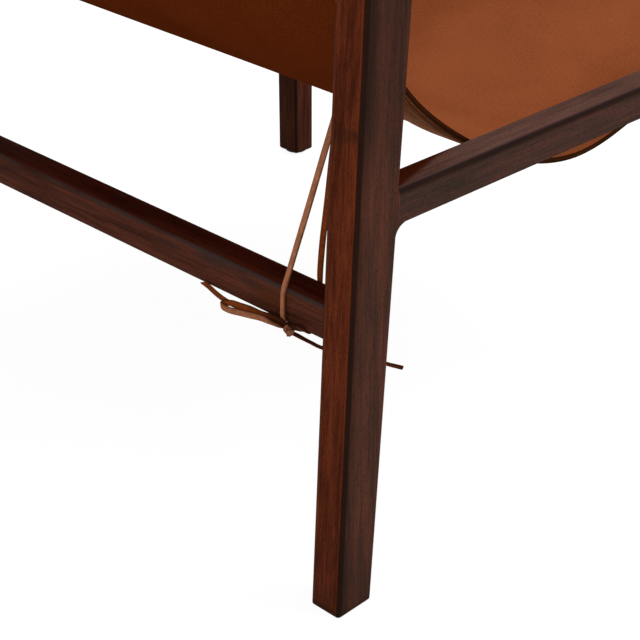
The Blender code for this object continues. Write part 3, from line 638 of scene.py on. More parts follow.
def wood_grain(tree, run):
    """The grain's layers along a run of wood, and the tone that they make together."""
    drift = grain_layer(tree, run, *DRIFT_LAYER)
    sway = joined(tree, **{axis: times(tree, drift, share) for axis, share in zip("XY", GRAIN_SWAY)})
    bent = moved(tree, run, sway)
    grain = {"sway": sway}
    for name, layer in GRAIN_LAYERS.items():
        grain[name] = grain_layer(tree, bent, *layer)
    grain["fleck"] = grain_layer(tree, run, *FLECK_LAYER)
    grain["pore_mask"] = spread(tree, grain["pores"], *PORE_SPAN)
    grain["tone"] = plus(tree, *(spread(tree, grain[name], *part) for name, part in TONE_PARTS.items()))
    return grain


def stain_and_painted_face_light(tree, grain, turn, flat, turned):
    """The stain on faces along the turn axis and square to it, with the painted sheen and shade that the
    face tones carry, gathered in the pores.
    """
    colour = blend(tree, spread(tree, turn, *FACE_TURN), flat, turned)
    colour = blend(tree, times(tree, grain["pore_mask"], 0.30), colour, PORE_SHADE)
    return blend(tree, spread(tree, grain["fleck"], *FLECK_SPAN), colour, PORE_SHADE)


def figured(tree, coords, grain, colour, figures, face_share):
    """Growth marks and patches in the grain, each as (centre, size, strength, shade)."""
    for centre, size, strength, shade in figures:
        ragged = moved(tree, coords, grain["sway"])
        spot = scaled(tree, ragged, [1 / s for s in size], [-c / s for c, s in zip(centre, size)])
        away = node(tree, "ShaderNodeVectorMath", {0: spot}, operation="LENGTH").outputs["Value"]
        away = plus(tree, away, times(tree, grain["bands"], 0.8))
        share = times(tree, spread(tree, away, *FIGURE_FADE, 0, strength), face_share)
        colour = blend(tree, share, colour, shade)
    return colour


def edged(tree, turn, colour, highlight, darken):
    """Arrises with a painted highlight along their faces and painted shade in their turn."""
    colour = blend(tree, band(tree, turn, ARRIS_HIGHLIGHT_BAND, highlight), colour, REAR_TONE[1])
    return blend(tree, band(tree, turn, ARRIS_BAND, darken), colour, ARRIS_PAINTED_SHADE)


def finish_wood(tree, shader, grain, colour):
    """Satin lacquer that follows the pores."""
    roughness = plus(tree, times(tree, grain["streaks"], 0.20), LACQUER_ROUGHNESS)
    relief = minus(tree, grain["streaks"], times(tree, grain["pore_mask"], 0.9))
    finish_surface(tree, shader, colour, roughness, relief, 0.30, PORE_DEPTH, LACQUER_SPECULAR)


def face_line(tree, height, face):
    """How far forward a straight face of a leg lies at a height."""
    foot, head = face(0), face(1)
    return plus(tree, times(tree, height, head.x - foot.x), foot.x)


def frame_places(tree, coords):
    """How far inward, forward and high a point of a side frame lies."""
    parts = split(tree, coords)
    inward = minus(tree, HALF_WIDTH, magnitude(tree, parts["X"]))
    return inward, minus(tree, START_Y, parts["Y"]), parts["Z"]


def rail_share(tree, forward, height):
    """1 on a side rail and 0 on the legs that it is joined to."""
    return times(
        tree,
        is_past(tree, forward, face_line(tree, height, back_leg_face)),
        is_short_of(tree, forward, face_line(tree, height, front_leg_face)),
        is_past(tree, height, SIDE_RAIL_BOTTOM - SIDE_RAIL_FILLET),
        is_short_of(tree, height, SIDE_RAIL_BOTTOM + SIDE_RAIL_DEPTH + RAIL_MARGIN),
    )


def frame_stain_and_painted_light(tree, places, on_rail, tone):
    """A joined frame's stain with painted shade and reflection: its rear and rail top, its sides, and how
    much painted shade its arrises take.
    """
    inward, forward, height = places
    on_front = is_past(tree, forward, FOOT_SPAN - 2 * FRONT_TOP_DEPTH)
    on_back = is_short_of(tree, forward, FOOT_SPAN / 2)
    flat = blend(tree, on_front, toned(tree, tone, REAR_TONE), toned(tree, tone, FRONT_LEG_REAR_TONE))
    side = blend(tree, on_front, toned(tree, tone, SIDE_TONE), toned(tree, tone, FRONT_LEG_SIDE_TONE))
    side = blend(tree, on_rail, side, toned(tree, tone, RAIL_SIDE_TONE))
    # Painted dark reflection on the rail top beside the back leg
    slanted = minus(tree, forward, times(tree, inward, RAIL_CORNER_SLANT))
    corner = back_leg_face(SIDE_RAIL_BOTTOM).x
    in_dark_reflection = spread(tree, slanted, *(corner + reach for reach in RAIL_CORNER_REACH))
    rail_top = blend(tree, in_dark_reflection, toned(tree, tone, RAIL_TOP_TONE), RAIL_CORNER_DARK_REFLECTION)
    # Painted shade on the side faces: by the rear arris, under the sling and near the floor
    behind = minus(tree, forward, face_line(tree, height, back_rear))
    shade = spread(tree, behind, *REAR_PAINTED_SHADE)
    shade = plus(tree, shade, spread(tree, height, *HIGH_PAINTED_SHADE), spread(tree, height, *LOW_PAINTED_SHADE))
    # The feet grow darker towards the floor
    tip = spread(tree, height, *FOOT_TIP)
    dark_foot = plus(tree, spread(tree, height, *FOOT_DARKENING), tip)
    # Painted shade high on the leg's rear face
    flat = blend(tree, spread(tree, height, *HEAD_PAINTED_SHADE), flat, HEAD_SHADE)
    flat = blend(tree, dark_foot, flat, FOOT_SHADE)
    flat = blend(tree, on_rail, flat, rail_top)
    side = blend(tree, tip, side, FOOT_SHADE)
    side = blend(tree, shade, side, ARRIS_PAINTED_SHADE)
    # The back leg's front arris takes less of the painted arris shade
    pale_arris = spread(tree, behind, *PALE_FRONT_ARRIS)
    pale_arris = times(tree, pale_arris, on_back, minus(tree, 1.0, on_rail))
    return flat, side, minus(tree, 1.0, pale_arris)


def side_frame_wood(name, seed, figures=()):
    """Stained hardwood of a joined frame, upright in its legs and level in its rail."""
    material, tree, shader = new_material(name)
    coords = object_coords(tree)
    places = frame_places(tree, coords)
    on_rail = rail_share(tree, *places[1:])
    upright, level = grain_coords(tree, coords, "Z", seed), grain_coords(tree, coords, "Y", seed + 3)
    run = node(tree, "ShaderNodeMix", {0: on_rail, 4: upright, 5: level}, data_type="VECTOR").outputs[1]
    grain = wood_grain(tree, run)
    flat, side, arris_share = frame_stain_and_painted_light(tree, places, on_rail, grain["tone"])
    turn = stored(tree, "turn")
    colour = stain_and_painted_face_light(tree, grain, turn, flat, side)
    colour = figured(tree, coords, grain, colour, figures, spread(tree, turn, *REAR_FACE_TURN))
    # Painted shade in the arrises, less at the back leg's front arris, with a painted highlight beside it
    darken = times(tree, arris_share, FRAME_ARRIS_STRENGTH)
    colour = edged(tree, turn, colour, 0.35 * FRAME_ARRIS_STRENGTH, darken)
    sheen = band(tree, turn, RAIL_SHEEN_BAND, on_rail)
    sheen = times(tree, sheen, spread(tree, grain["broad"], 0.2, 0.6, 0.5, 0.9))
    finish_wood(tree, shader, grain, blend(tree, sheen, colour, RAIL_SHEEN))
    return material


def bar_wood(name, along, seed, tones, arris_strength, figures=()):
    """The same wood along one axis, with a tone along the turn axis and one square to it."""
    material, tree, shader = new_material(name)
    coords = object_coords(tree)
    grain = wood_grain(tree, grain_coords(tree, coords, along, seed))
    turn = stored(tree, "turn")
    colour = stain_and_painted_face_light(tree, grain, turn, *(toned(tree, grain["tone"], pair) for pair in tones))
    colour = figured(tree, coords, grain, colour, figures, 1.0)
    # Painted highlight and painted shade on the bar's arrises
    colour = edged(tree, turn, colour, 0.35 * arris_strength, arris_strength)
    sheen = band(tree, turn, BAR_SHEEN_BAND, spread(tree, grain["broad"], 0.42, 0.60, 0, 0.7))
    finish_wood(tree, shader, grain, blend(tree, sheen, colour, BAR_SHEEN))
    return material


# Leather

BURNISHED = (
    (0.0, rgb(0.030, 0.0055, 0.0008)),
    (0.35, rgb(0.034, 0.0075, 0.0014)),
    (0.55, rgb(0.060, 0.0200, 0.0080)),
    (0.75, rgb(0.046, 0.0130, 0.0045)),
    (1.0, rgb(0.024, 0.0060, 0.0014)),
)
EDGE_FIBRE = rgb(0.03, 0.012, 0.005)
ROUGH_NEAR_EDGE = (rgb(0.095, 0.0330, 0.0115), rgb(0.420, 0.1520, 0.0680))
ROUGH_INSIDE = (rgb(0.120, 0.0440, 0.0195), rgb(0.430, 0.1720, 0.0920))
# Painted shade in the hem's creases
CREASE_PAINTED_SHADE = rgb(0.024, 0.0085, 0.0030)
# Painted shade on a strap's thickness side
THONG_EDGE_PAINTED_SHADE = rgb(0.070, 0.0210, 0.0080)
# The colour of the painted shade over strands that lie in shade
STRAP_PAINTED_SHADE = rgb(0.022, 0.0060, 0.0030)

# Each pressed crease is (distance in from the edge, width).
CREASES = (
    (0.0024, 0.0010),
    (0.0050, 0.0017),
    (0.0095, 0.0014),
    (0.0140, 0.0014),
    (0.0190, 0.0013),
    (0.0250, 0.0013),
    (0.0330, 0.0011),
)
CREASE_WAVER = 0.004
CREASE_SOFT_SHARE = 0.3
CREASE_STRENGTH = 0.95
CREASE_DEPTH_SHARE = 2.0
HEM_PALER = (0.006, 0.030)

# Noise, each as (stretch of its places or None, scale, detail, roughness, distortion)
LEATHER_FLECKS = (None, 420, 5, 0.62)
LEATHER_SCARS = ((1, 0.22, 1), 95, 3, 0.5, 1.2)
EDGE_FIBRES = ((4000, 60, 1), 1.0, 3, 0.6)
HEM_WAVER = ((0.2, 1, 1), 26, 3, 0.5)
HEM_STREAKS = ((1, 0.04, 1), 480, 4, 0.6)
HEM_NAP = (None, 900, 4, 0.6)
HEM_BREAKS = ((0.8, 0.25, 1), 190, 3, 0.6)
THONG_FIBRES = ((1, 60, 1), 5.0, 4, 0.6)
THONG_BLOTCH = ((0.4, 25, 1), 3.0, 3, 0.5)
GLIDE_GRAIN = (None, 1500, 4, 0.6)
GLIDE_SCUFFS = ((1, 6, 1), 400, 3)
THREAD_TWIST = ((1, 1, 1), 3000, 2)

# Spans that the noise is stretched from, with the values that it is stretched to
LEATHER_CLOUD_SPAN = (0.2, 0.8)
LEATHER_FLECK_SPAN = (0.28, 0.72)
LEATHER_SCAR_SPAN = (0.66, 0.74)
HEM_STREAK_SPAN = (0.36, 0.62, 0, 0.6)
HEM_NAP_SPAN = (0.3, 0.7, 0, 0.4)
HEM_BREAK_SPAN = (0.24, 0.44)
THONG_TONE_SPAN = (0.3, 0.7, 0, 0.5)
THONG_EDGE_SPAN = (-0.22, -0.42, 0, 0.7)
GLIDE_SCUFF_SPAN = (0.55, 0.75)

# The grain pits of leather, and how strongly scars, fibres and the straps' painted shade show
LEATHER_CELL_SCALE = 900.0
LEATHER_CELL_SHARE = 0.7
LEATHER_CLOUD = (4, 0.55, 0.4)
LEATHER_RELIEF = 0.5
SCAR_STRENGTH = 0.25
EDGE_FIBRE_STRENGTH = 0.5
STRAP_PAINTED_SHADE_STRENGTH = 0.95

# Finishes: roughness, and how strong and how deep the relief is
EDGE_ROUGHNESS = 0.7
EDGE_RELIEF = (0.4, 0.0002)
HEM_ROUGHNESS = 0.85
HEM_RELIEF = (0.6, 0.0003)
THONG_ROUGHNESS = 0.5
THONG_RELIEF = (0.4, 0.00015)
GLIDE_RELIEF = (0.3, 0.0001)
GLIDE_TONES = (rgb(0.018, 0.014, 0.013), rgb(0.07, 0.06, 0.055))
THREAD_TONES = (rgb(0.06, 0.022, 0.009), rgb(0.16, 0.065, 0.028))
THREAD_ROUGHNESS = 0.6


def stretched_noise(tree, coords, stretch, *recipe):
    return noise(tree, scaled(tree, coords, stretch) if stretch else coords, *recipe)


def leather(name, tones, rough, grain_depth, mottle, cloud_scale):
    """Vegetable-tanned leather: soft clouds, fine mottle and small grain pits."""
    material, tree, shader = new_material(name)
    coords = run_coords(tree)
    clouds = noise(tree, coords, cloud_scale, *LEATHER_CLOUD)
    flecks = stretched_noise(tree, coords, *LEATHER_FLECKS)
    pits = {"Vector": coords, "Scale": LEATHER_CELL_SCALE}
    cells = node(tree, "ShaderNodeTexVoronoi", pits).outputs["Distance"]
    scars = stretched_noise(tree, coords, *LEATHER_SCARS)
    soft = times(tree, spread(tree, clouds, *LEATHER_CLOUD_SPAN), 1 - mottle)
    fine = times(tree, spread(tree, flecks, *LEATHER_FLECK_SPAN), mottle)
    colour = toned(tree, plus(tree, soft, fine), tones)
    scarred = times(tree, spread(tree, scars, *LEATHER_SCAR_SPAN), SCAR_STRENGTH)
    colour = blend(tree, scarred, colour, tones[0])
    roughness = plus(tree, times(tree, flecks, 0.2), rough - 0.1)
    relief = plus(tree, times(tree, cells, LEATHER_CELL_SHARE), flecks)
    finish_surface(tree, shader, colour, roughness, relief, LEATHER_RELIEF, grain_depth)
    return material


def cut_edge(name):
    """The cut edge of the plies: burnished dark at its corners, paler fibre between."""
    material, tree, shader = new_material(name)
    coords = run_coords(tree)
    fibres = stretched_noise(tree, coords, *EDGE_FIBRES)
    ramp = node(tree, "ShaderNodeValToRGB", {"Fac": split(tree, coords)["X"]})
    elements = ramp.color_ramp.elements
    while len(elements) < len(BURNISHED):
        elements.new(0.5)
    for element, (depth, shade) in zip(elements, BURNISHED):
        element.position = depth
        element.color = shade
    colour = blend(tree, times(tree, fibres, EDGE_FIBRE_STRENGTH), ramp.outputs[0], EDGE_FIBRE)
    finish_surface(tree, shader, colour, EDGE_ROUGHNESS, fibres, *EDGE_RELIEF)
    return material


def flesh_side(name):
    """The rough side of the hem ply: pressed creases along its edge, darkened with painted shade, paler away
    from it.
    """
    material, tree, shader = new_material(name)
    coords = run_coords(tree)
    waver = stretched_noise(tree, coords, *HEM_WAVER)
    inset = minus(tree, SLING_HALF, magnitude(tree, split(tree, coords)["X"]))
    inset = plus(tree, inset, times(tree, minus(tree, waver, 0.5), CREASE_WAVER))
    streaks = stretched_noise(tree, coords, *HEM_STREAKS)
    nap = stretched_noise(tree, coords, *HEM_NAP)
    broken = stretched_noise(tree, coords, *HEM_BREAKS)
    tone = plus(tree, spread(tree, streaks, *HEM_STREAK_SPAN), spread(tree, nap, *HEM_NAP_SPAN))
    near, inside = (toned(tree, tone, pair) for pair in (ROUGH_NEAR_EDGE, ROUGH_INSIDE))
    colour = blend(tree, spread(tree, inset, *HEM_PALER), near, inside)
    creases = 0.0
    for distance, width in CREASES:
        away = magnitude(tree, minus(tree, inset, distance))
        creases = greatest(tree, creases, spread(tree, away, width, width * CREASE_SOFT_SHARE))
    creases = times(tree, creases, spread(tree, broken, *HEM_BREAK_SPAN))
    # Painted shade in the creases
    colour = blend(tree, times(tree, creases, CREASE_STRENGTH), colour, CREASE_PAINTED_SHADE)
    relief = minus(tree, plus(tree, streaks, nap), times(tree, creases, CREASE_DEPTH_SHARE))
    finish_surface(tree, shader, colour, HEM_ROUGHNESS, relief, *HEM_RELIEF)
    return material


def thong_leather(name, tones):
    """One side of a narrow tan strap, with painted shade along one of its edges and, as stored on its
    points, along it and near its ends.
    """
    material, tree, shader = new_material(name)
    coords = run_coords(tree)
    fibres = stretched_noise(tree, coords, *THONG_FIBRES)
    blotch = stretched_noise(tree, coords, *THONG_BLOTCH)
    tone = plus(tree, *(spread(tree, layer, *THONG_TONE_SPAN) for layer in (fibres, blotch)))
    # Painted shade along one edge, the strap's thickness side
    edge = spread(tree, split(tree, coords)["X"], *THONG_EDGE_SPAN)
    colour = blend(tree, edge, toned(tree, tone, tones), THONG_EDGE_PAINTED_SHADE)
    # Painted shade stored on the strap's points
    painted_shade = times(tree, stored(tree, "painted_shade"), STRAP_PAINTED_SHADE_STRENGTH)
    colour = blend(tree, painted_shade, colour, STRAP_PAINTED_SHADE)
    finish_surface(tree, shader, colour, THONG_ROUGHNESS, fibres, *THONG_RELIEF)
    return material


# Plastic and thread


def glide_plastic():
    """Dark moulded plastic, scuffed where it touches the floor."""
    material, tree, shader = new_material("glide_dark")
    coords = object_coords(tree)
    grain = stretched_noise(tree, coords, *GLIDE_GRAIN)
    scuffs = stretched_noise(tree, coords, *GLIDE_SCUFFS)
    colour = toned(tree, spread(tree, scuffs, *GLIDE_SCUFF_SPAN), GLIDE_TONES)
    roughness = plus(tree, times(tree, grain, 0.25), 0.45)
    finish_surface(tree, shader, colour, roughness, grain, *GLIDE_RELIEF, specular=0.5)
    return material


def waxed_thread():
    """Brown thread with a fine twist."""
    material, tree, shader = new_material("waxed_thread")
    twist = stretched_noise(tree, object_coords(tree), *THREAD_TWIST)
    colour = toned(tree, twist, THREAD_TONES)
    feed(tree, shader.inputs["Base Color"], colour)
    shader.inputs["Roughness"].default_value = THREAD_ROUGHNESS
    return material


# Wooden pieces


def edge_radius(edge):
    """How round an edge of a side frame is."""
    if not edge.is_manifold or edge.calc_face_angle_signed(0.0) < LEAST_ARRIS_ANGLE:
        return 0.0
    ends = [vertex.co for vertex in edge.verts]
    if all(co.z < LEG_BOTTOM + TOUCH for co in ends):
        return BACK_FOOT_RADIUS if ends[0].y > 0 else FRONT_FOOT_RADIUS
    if all(abs(co.z - arm_underside(START_Y - co.y)) < NEAR and co.y < 0 for co in ends):
        return 0.0
    height = (ends[0].z + ends[1].z) / 2
    if SIDE_RAIL_BOTTOM - SIDE_RAIL_FILLET < height < SIDE_RAIL_BOTTOM + TOUCH:
        share = (SIDE_RAIL_BOTTOM - height) / SIDE_RAIL_FILLET
        return mix(RAIL_INNER_RADIUS, ARRIS_RADIUS, share)
    if abs(height - SIDE_RAIL_BOTTOM - SIDE_RAIL_DEPTH) < NEAR:
        outer = abs(ends[0].x) > HALF_WIDTH - SIDE_RAIL_WIDTH / 2
        return RAIL_OUTER_RADIUS if outer else RAIL_INNER_RADIUS
    if all(co.z > back_leg_top()[0].y - TOUCH for co in ends):
        return HEAD_RADIUS
    return ARRIS_RADIUS


def even_out(body, axis):
    """Note a wooden body's arrises and even out its normals."""
    note_turn(body.data, axis)
    even = body.modifiers.new("even_normals", "WEIGHTED_NORMAL")
    even.keep_sharp = True
    plain_mesh(body)


def side_block(name, outline, side, width):
    """One member of a side frame, flush with the frame's outer face."""
    reach = sorted((side * HALF_WIDTH, side * (HALF_WIDTH - width)))
    return object_of(f"{name}_block", prism(outline, *reach), [])


def fuse(body, others):
    """Join other blocks to a body."""
    for block in others:
        step = body.modifiers.new("joint", "BOOLEAN")
        step.operation = "UNION"
        step.solver = "EXACT"
        step.object = block
    plain_mesh(body)
    for block in others:
        bpy.data.objects.remove(block)


def round_arrises(body):
    """Round each edge of a side frame by its own radius."""
    bm = bmesh.new()
    bm.from_mesh(body.data)
    bmesh.ops.remove_doubles(bm, verts=bm.verts, dist=SAME)
    bmesh.ops.dissolve_limit(bm, angle_limit=FLAT_ANGLE, verts=bm.verts, edges=bm.edges)
    weights = bm.edges.layers.float.new("bevel_weight_edge")
    for edge in bm.edges:
        edge[weights] = edge_radius(edge) / RAIL_OUTER_RADIUS
    bm.to_mesh(body.data)
    bm.free()
    step = body.modifiers.new("arrises", "BEVEL")
    step.width = RAIL_OUTER_RADIUS
    step.segments = ARRIS_SEGMENTS
    step.limit_method = "WEIGHT"
    step.use_clamp_overlap = False
    step.miter_inner = "MITER_SHARP"
    plain_mesh(body)
    for attribute in list(body.data.attributes):
        if attribute.name.startswith("bevel_weight"):
            body.data.attributes.remove(attribute)


def side_frame(name, side, materials):
    """Back leg, side rail and front leg of one side as one body with rounded arrises."""
    members = (
        (back_leg_outline(), BACK_LEG_WIDTH),
        (side_rail_outline(), SIDE_RAIL_WIDTH),
        (front_leg_outline(), FRONT_LEG_WIDTH),
    )
    body, *others = (side_block(name, outline, side, width) for outline, width in members)
    fuse(body, others)
    body.name = name
    round_arrises(body)
    body.data.materials.clear()
    dress(body, materials)
    even_out(body, 0)
    return body


def round_edges(bm, edges, radius):
    bmesh.ops.bevel(
        bm,
        geom=edges,
        offset=radius,
        segments=ROUND_SEGMENTS,
        profile=0.5,
        affect="EDGES",
        clamp_overlap=True,
    )


def rounded_bar(name, outline, half_length, radii, materials):
    """A bar across the chair with a rounded section. Radii are (lower, upper) arrises."""
    bm = prism(outline, -half_length, half_length)
    middle = sum(point.y for point in outline) / len(outline)
    for radius, upper in zip(radii, (False, True)):
        edges = []
        for edge in bm.edges:
            a, b = (vertex.co for vertex in edge.verts)
            if abs(a.x - b.x) > half_length and (a.z > middle) == upper and edge.calc_face_angle() > 1:
                edges.append(edge)
        round_edges(bm, edges, radius)
    body = object_of(name, bm, materials)
    even_out(body, 1)
    return body


def stretcher_outline():
    rear = back_rear(STRETCHER_BOTTOM + STRETCHER_HEIGHT / 2).x + STRETCHER_SETBACK
    front, top = rear + STRETCHER_DEPTH, STRETCHER_BOTTOM + STRETCHER_HEIGHT
    corners = ((rear, STRETCHER_BOTTOM), (rear, top), (front, top), (front, STRETCHER_BOTTOM))
    return [Vector(corner) for corner in corners]


def arm_reach(share):
    """How far an arm reaches outward and inward of its middle line, along its length."""
    rear_half = ARM_REAR_WIDTH / 2
    swell = math.sin(share * math.pi / 2) ** 2
    outer_full = FRONT_LEG_WIDTH / 2 + ARM_OUTER_REVEAL
    return mix(rear_half, outer_full, swell), mix(rear_half, ARM_WIDTH - outer_full, swell)


def arm_plan():
    """An arm's outline from above, as (forward, outward): swelling sides and a round nose."""
    rear = back_leg_face(ARM_REAR_HEIGHT).x - ARM_HOUSING
    nose_start = FOOT_SPAN + ARM_OVERHANG - ARM_NOSE
    outer_side, inner_side, nose = [], [], []
    for step in range(KNEE_STEPS + 1):
        share = step / KNEE_STEPS
        u = mix(rear, nose_start, share)
        outer, inner = arm_reach(share)
        outer_side.append((u, outer))
        inner_side.append((u, -inner))
    middle, half = (outer - inner) / 2, (outer + inner) / 2
    for step in range(1, NOSE_STEPS):
        angle = step / NOSE_STEPS * math.pi
        nose.append((nose_start + ARM_NOSE * math.sin(angle), middle + half * math.cos(angle)))
    return outer_side + nose + list(reversed(inner_side))


def make_arm(name, side, materials):
    """A sloping armrest, rounded all along but for its end at the back leg."""
    slope = arm_slope()
    x_middle = side * (HALF_WIDTH - BACK_LEG_WIDTH / 2)
    up = Vector((-math.sin(slope), math.cos(slope))) * ARM_THICK / 2
    plan = arm_plan()
    bm = bmesh.new()
    low, high = (
        [bm.verts.new(place(x_middle + side * reach, Vector((u, arm_line(u))) + rise)) for u, reach in plan]
        for rise in (-up, up)
    )
    block_between(bm, low, high)
    rear = START_Y - plan[0][0]
    edges = []
    for edge in bm.edges:
        at_rear = all(abs(vertex.co.y - rear) < ARM_END_REACH for vertex in edge.verts)
        if not at_rear and edge.calc_face_angle(0.0) > ARM_ARRIS_ANGLE:
            edges.append(edge)
    round_edges(bm, edges, ARM_ROUND)
    body = object_of(name, bm, materials)
    even_out(body, 0)
    return body


# The pad's section from its sole to its top, as (share of its radius, height)
GLIDE_PROFILE = ((0.55, 0.0), (0.80, 0.0001), (0.93, 0.0005), (1.0, 0.0012), (0.99, 0.0019), (0.95, 0.0024))


def make_glide(name, middle, material):
    """A domed pad under a foot, its rim rolled up against the wood."""
    bm = bmesh.new()
    angles = [i / GLIDE_SIDES * 2 * math.pi for i in range(GLIDE_SIDES)]
    rings = []
    for share, height in GLIDE_PROFILE:
        reach = share * GLIDE_RADIUS
        spots = [(middle.x + reach * math.cos(a), middle.y + reach * math.sin(a), height) for a in angles]
        rings.append([bm.verts.new(spot) for spot in spots])
    for lower, upper in zip(rings, rings[1:]):
        wall_between(bm, lower, upper)
    bm.faces.new(rings[0])
    bm.faces.new(rings[-1])
    face_outward(bm)
    return object_of(name, bm, [material], LEATHER_CREASE)


# Sling


def bezier(start, start_angle, end, end_angle):
    """A curve that leaves and arrives falling at the given angles, without its end."""
    reach = (end - start).length * CURVE_REACH_SHARE
    first = start + Vector((math.cos(start_angle), -math.sin(start_angle))) * reach
    second = end - Vector((math.cos(end_angle), -math.sin(end_angle))) * reach
    points = []
    for step in range(CURVE_STEPS):
        t = step / CURVE_STEPS
        a, b, c = mix(start, first, t), mix(first, second, t), mix(second, end, t)
        points.append(mix(mix(a, b, t), mix(b, c, t), t))
    return points


def sleeve_path(centre, along, normal):
    """Round a rail, closing behind it, and back along the leather as a flap."""
    points = [centre - along * SLEEVE_STRAIGHT + normal * SLEEVE_RADIUS]
    for step in range(TURN_STEPS + 1):
        angle = (1 / 2 - step / TURN_STEPS) * math.pi
        out = along * math.cos(angle) + normal * math.sin(angle)
        points.append(centre + along * SLEEVE_STRAIGHT + out * SLEEVE_RADIUS)
    for step in range(CLOSE_STEPS + 1):
        share = step / CLOSE_STEPS
        rise = mix(-SLEEVE_RADIUS, FLAP_RISE, ease(share))
        points.append(centre - along * (SLEEVE_STRAIGHT + SLEEVE_CLOSE * share) + normal * rise)
    for step in range(1, FLAP_STEPS + 1):
        reach = SLEEVE_STRAIGHT + SLEEVE_CLOSE + SLEEVE_FLAP * step / FLAP_STEPS
        points.append(centre - along * reach + normal * FLAP_RISE)
    return points


def sleeve_start(centre, along, normal):
    back = SLEEVE_STRAIGHT + SLEEVE_CLOSE + SLEEVE_FLAP + HEM_GAP
    return centre - along * back + normal * SLEEVE_RADIUS


def rail_axes():
    """The top and the front rail, each as (centre, along its section, square to it)."""
    rear, front = back_leg_top()
    top_place = (rear + front) / 2 - upper_direction() * TOP_RAIL_DROP
    front_place = Vector((FOOT_SPAN - FRONT_RAIL_SETBACK, FRONT_RAIL_HEIGHT))
    top_along = Vector((-math.cos(TOP_SLOPE), math.sin(TOP_SLOPE)))
    top_normal = Vector((math.sin(TOP_SLOPE), math.cos(TOP_SLOPE)))
    front_along = Vector((math.cos(SEAT_SLOPE), math.sin(SEAT_SLOPE)))
    front_normal = Vector((-math.sin(SEAT_SLOPE), math.cos(SEAT_SLOPE)))
    return (top_place, top_along, top_normal), (front_place, front_along, front_normal)


def sling_run():
    """The hanging leather's upper line, from one sleeve to the other."""
    top, front = rail_axes()
    start, end = sleeve_start(*top), sleeve_start(*front)
    line = bezier(start, TOP_SLOPE, BEND, BEND_SLOPE)
    line += bezier(BEND, BEND_SLOPE, LOW, 0)
    line += bezier(LOW, 0, end, -SEAT_SLOPE)
    return line + [end]


def whole_sling_line():
    """The sling's upper line with both of its sleeves."""
    top, front = rail_axes()
    return list(reversed(sleeve_path(*top))) + sling_run() + sleeve_path(*front)


def normals_of(line):
    result = []
    for i in range(len(line)):
        ahead, behind = line[min(i + 1, len(line) - 1)], line[max(i - 1, 0)]
        run = (ahead - behind).normalized()
        result.append(Vector((-run.y, run.x)))
    return result


def lengths_of(line):
    result = [0.0]
    for a, b in zip(line, line[1:]):
        result.append(result[-1] + (b - a).length)
    return result


# The seat's slight waves: their height, where they start and end, and how fast they turn
WAVE_HEIGHT = 0.0007
WAVE_START = 0.10
WAVE_END = 0.56
WAVE_FADE = 0.10
WAVES_ACROSS = 9.1
WAVES_ALONG = 7.3
WAVE_SLANT = 2.0
WAVE_SHIFT = 0.6

# How far the map runs with each column at the cut ends of a sheet
END_MAP_STEP = 0.01


def settle(x, u):
    """How far the leather lies off its even line."""
    share = ease((u - WAVE_START) / WAVE_FADE) * ease((WAVE_END - u) / WAVE_FADE)
    wave = math.sin(x * WAVES_ACROSS + WAVE_SHIFT) * math.cos(u * WAVES_ALONG + x * WAVE_SLANT)
    return WAVE_HEIGHT * share * wave


def sheet_body(name, line, spans, columns, levels, materials):
    """A leather sheet: upper face, under face and cut edges, each with its own finish.

    Spans are its two sides at each point of the line, and levels the depths of its two
    faces below the line. The map "run" holds metres across and along on the faces, and the
    depth share and metres along on the edges.
    """
    run = lengths_of(line)
    bm = bmesh.new()
    uv = bm.loops.layers.uv.new("run")
    xs = [[mix(low, high, c / columns) for c in range(columns + 1)] for low, high in spans]
    grid = []
    for level in levels:
        rows = []
        for point, normal, row in zip(line, normals_of(line), xs):
            spots = [place(x, point + normal * (settle(x, point.x) - level)) for x in row]
            rows.append([bm.verts.new(spot) for spot in spots])
        grid.append(rows)
    top, under = grid
    last = len(line) - 1

    def quad(corners, values, slot, flip):
        turn = -1 if flip else 1
        face = bm.faces.new(corners[::turn])
        face.material_index = slot
        for loop, value in zip(face.loops, values[::turn]):
            loop[uv].uv = value

    for i in range(last):
        for c in range(columns):
            cells = ((i, c), (i, c + 1), (i + 1, c + 1), (i + 1, c))
            spots = [(xs[a][b], run[a]) for a, b in cells]
            quad([top[a][b] for a, b in cells], spots, 0, True)
            quad([under[a][b] for a, b in cells], spots, 1, False)
        for c, flip in ((0, True), (columns, False)):
            corners = [top[i][c], top[i + 1][c], under[i + 1][c], under[i][c]]
            quad(corners, [(0, run[i]), (0, run[i + 1]), (1, run[i + 1]), (1, run[i])], 2, flip)
    for i, flip in ((0, False), (last, True)):
        for c in range(columns):
            corners = [top[i][c], top[i][c + 1], under[i][c + 1], under[i][c]]
            here, there = c * END_MAP_STEP, (c + 1) * END_MAP_STEP
            quad(corners, [(0, here), (0, there), (1, there), (1, here)], 2, flip)
    face_outward(bm)
    return object_of(name, bm, materials, LEATHER_CREASE)


def hem_width(u):
    share = (u - HEM_SWELL[0]) / (HEM_SWELL[1] - HEM_SWELL[0])
    return mix(HEM_WIDTH_BACK, HEM_WIDTH_SEAT, ease(share))


def make_hem(word, side, materials):
    """The second ply along one side of the sling, under it."""
    line = sling_run()
    spans = [sorted((side * SLING_HALF, side * (SLING_HALF - hem_width(point.x)))) for point in line]
    upper = LEATHER_THICK + PLY_GAP
    return sheet_body(f"hem_ply_{word}", line, spans, HEM_COLUMNS, (upper, upper + HEM_THICK), materials)


# Thongs


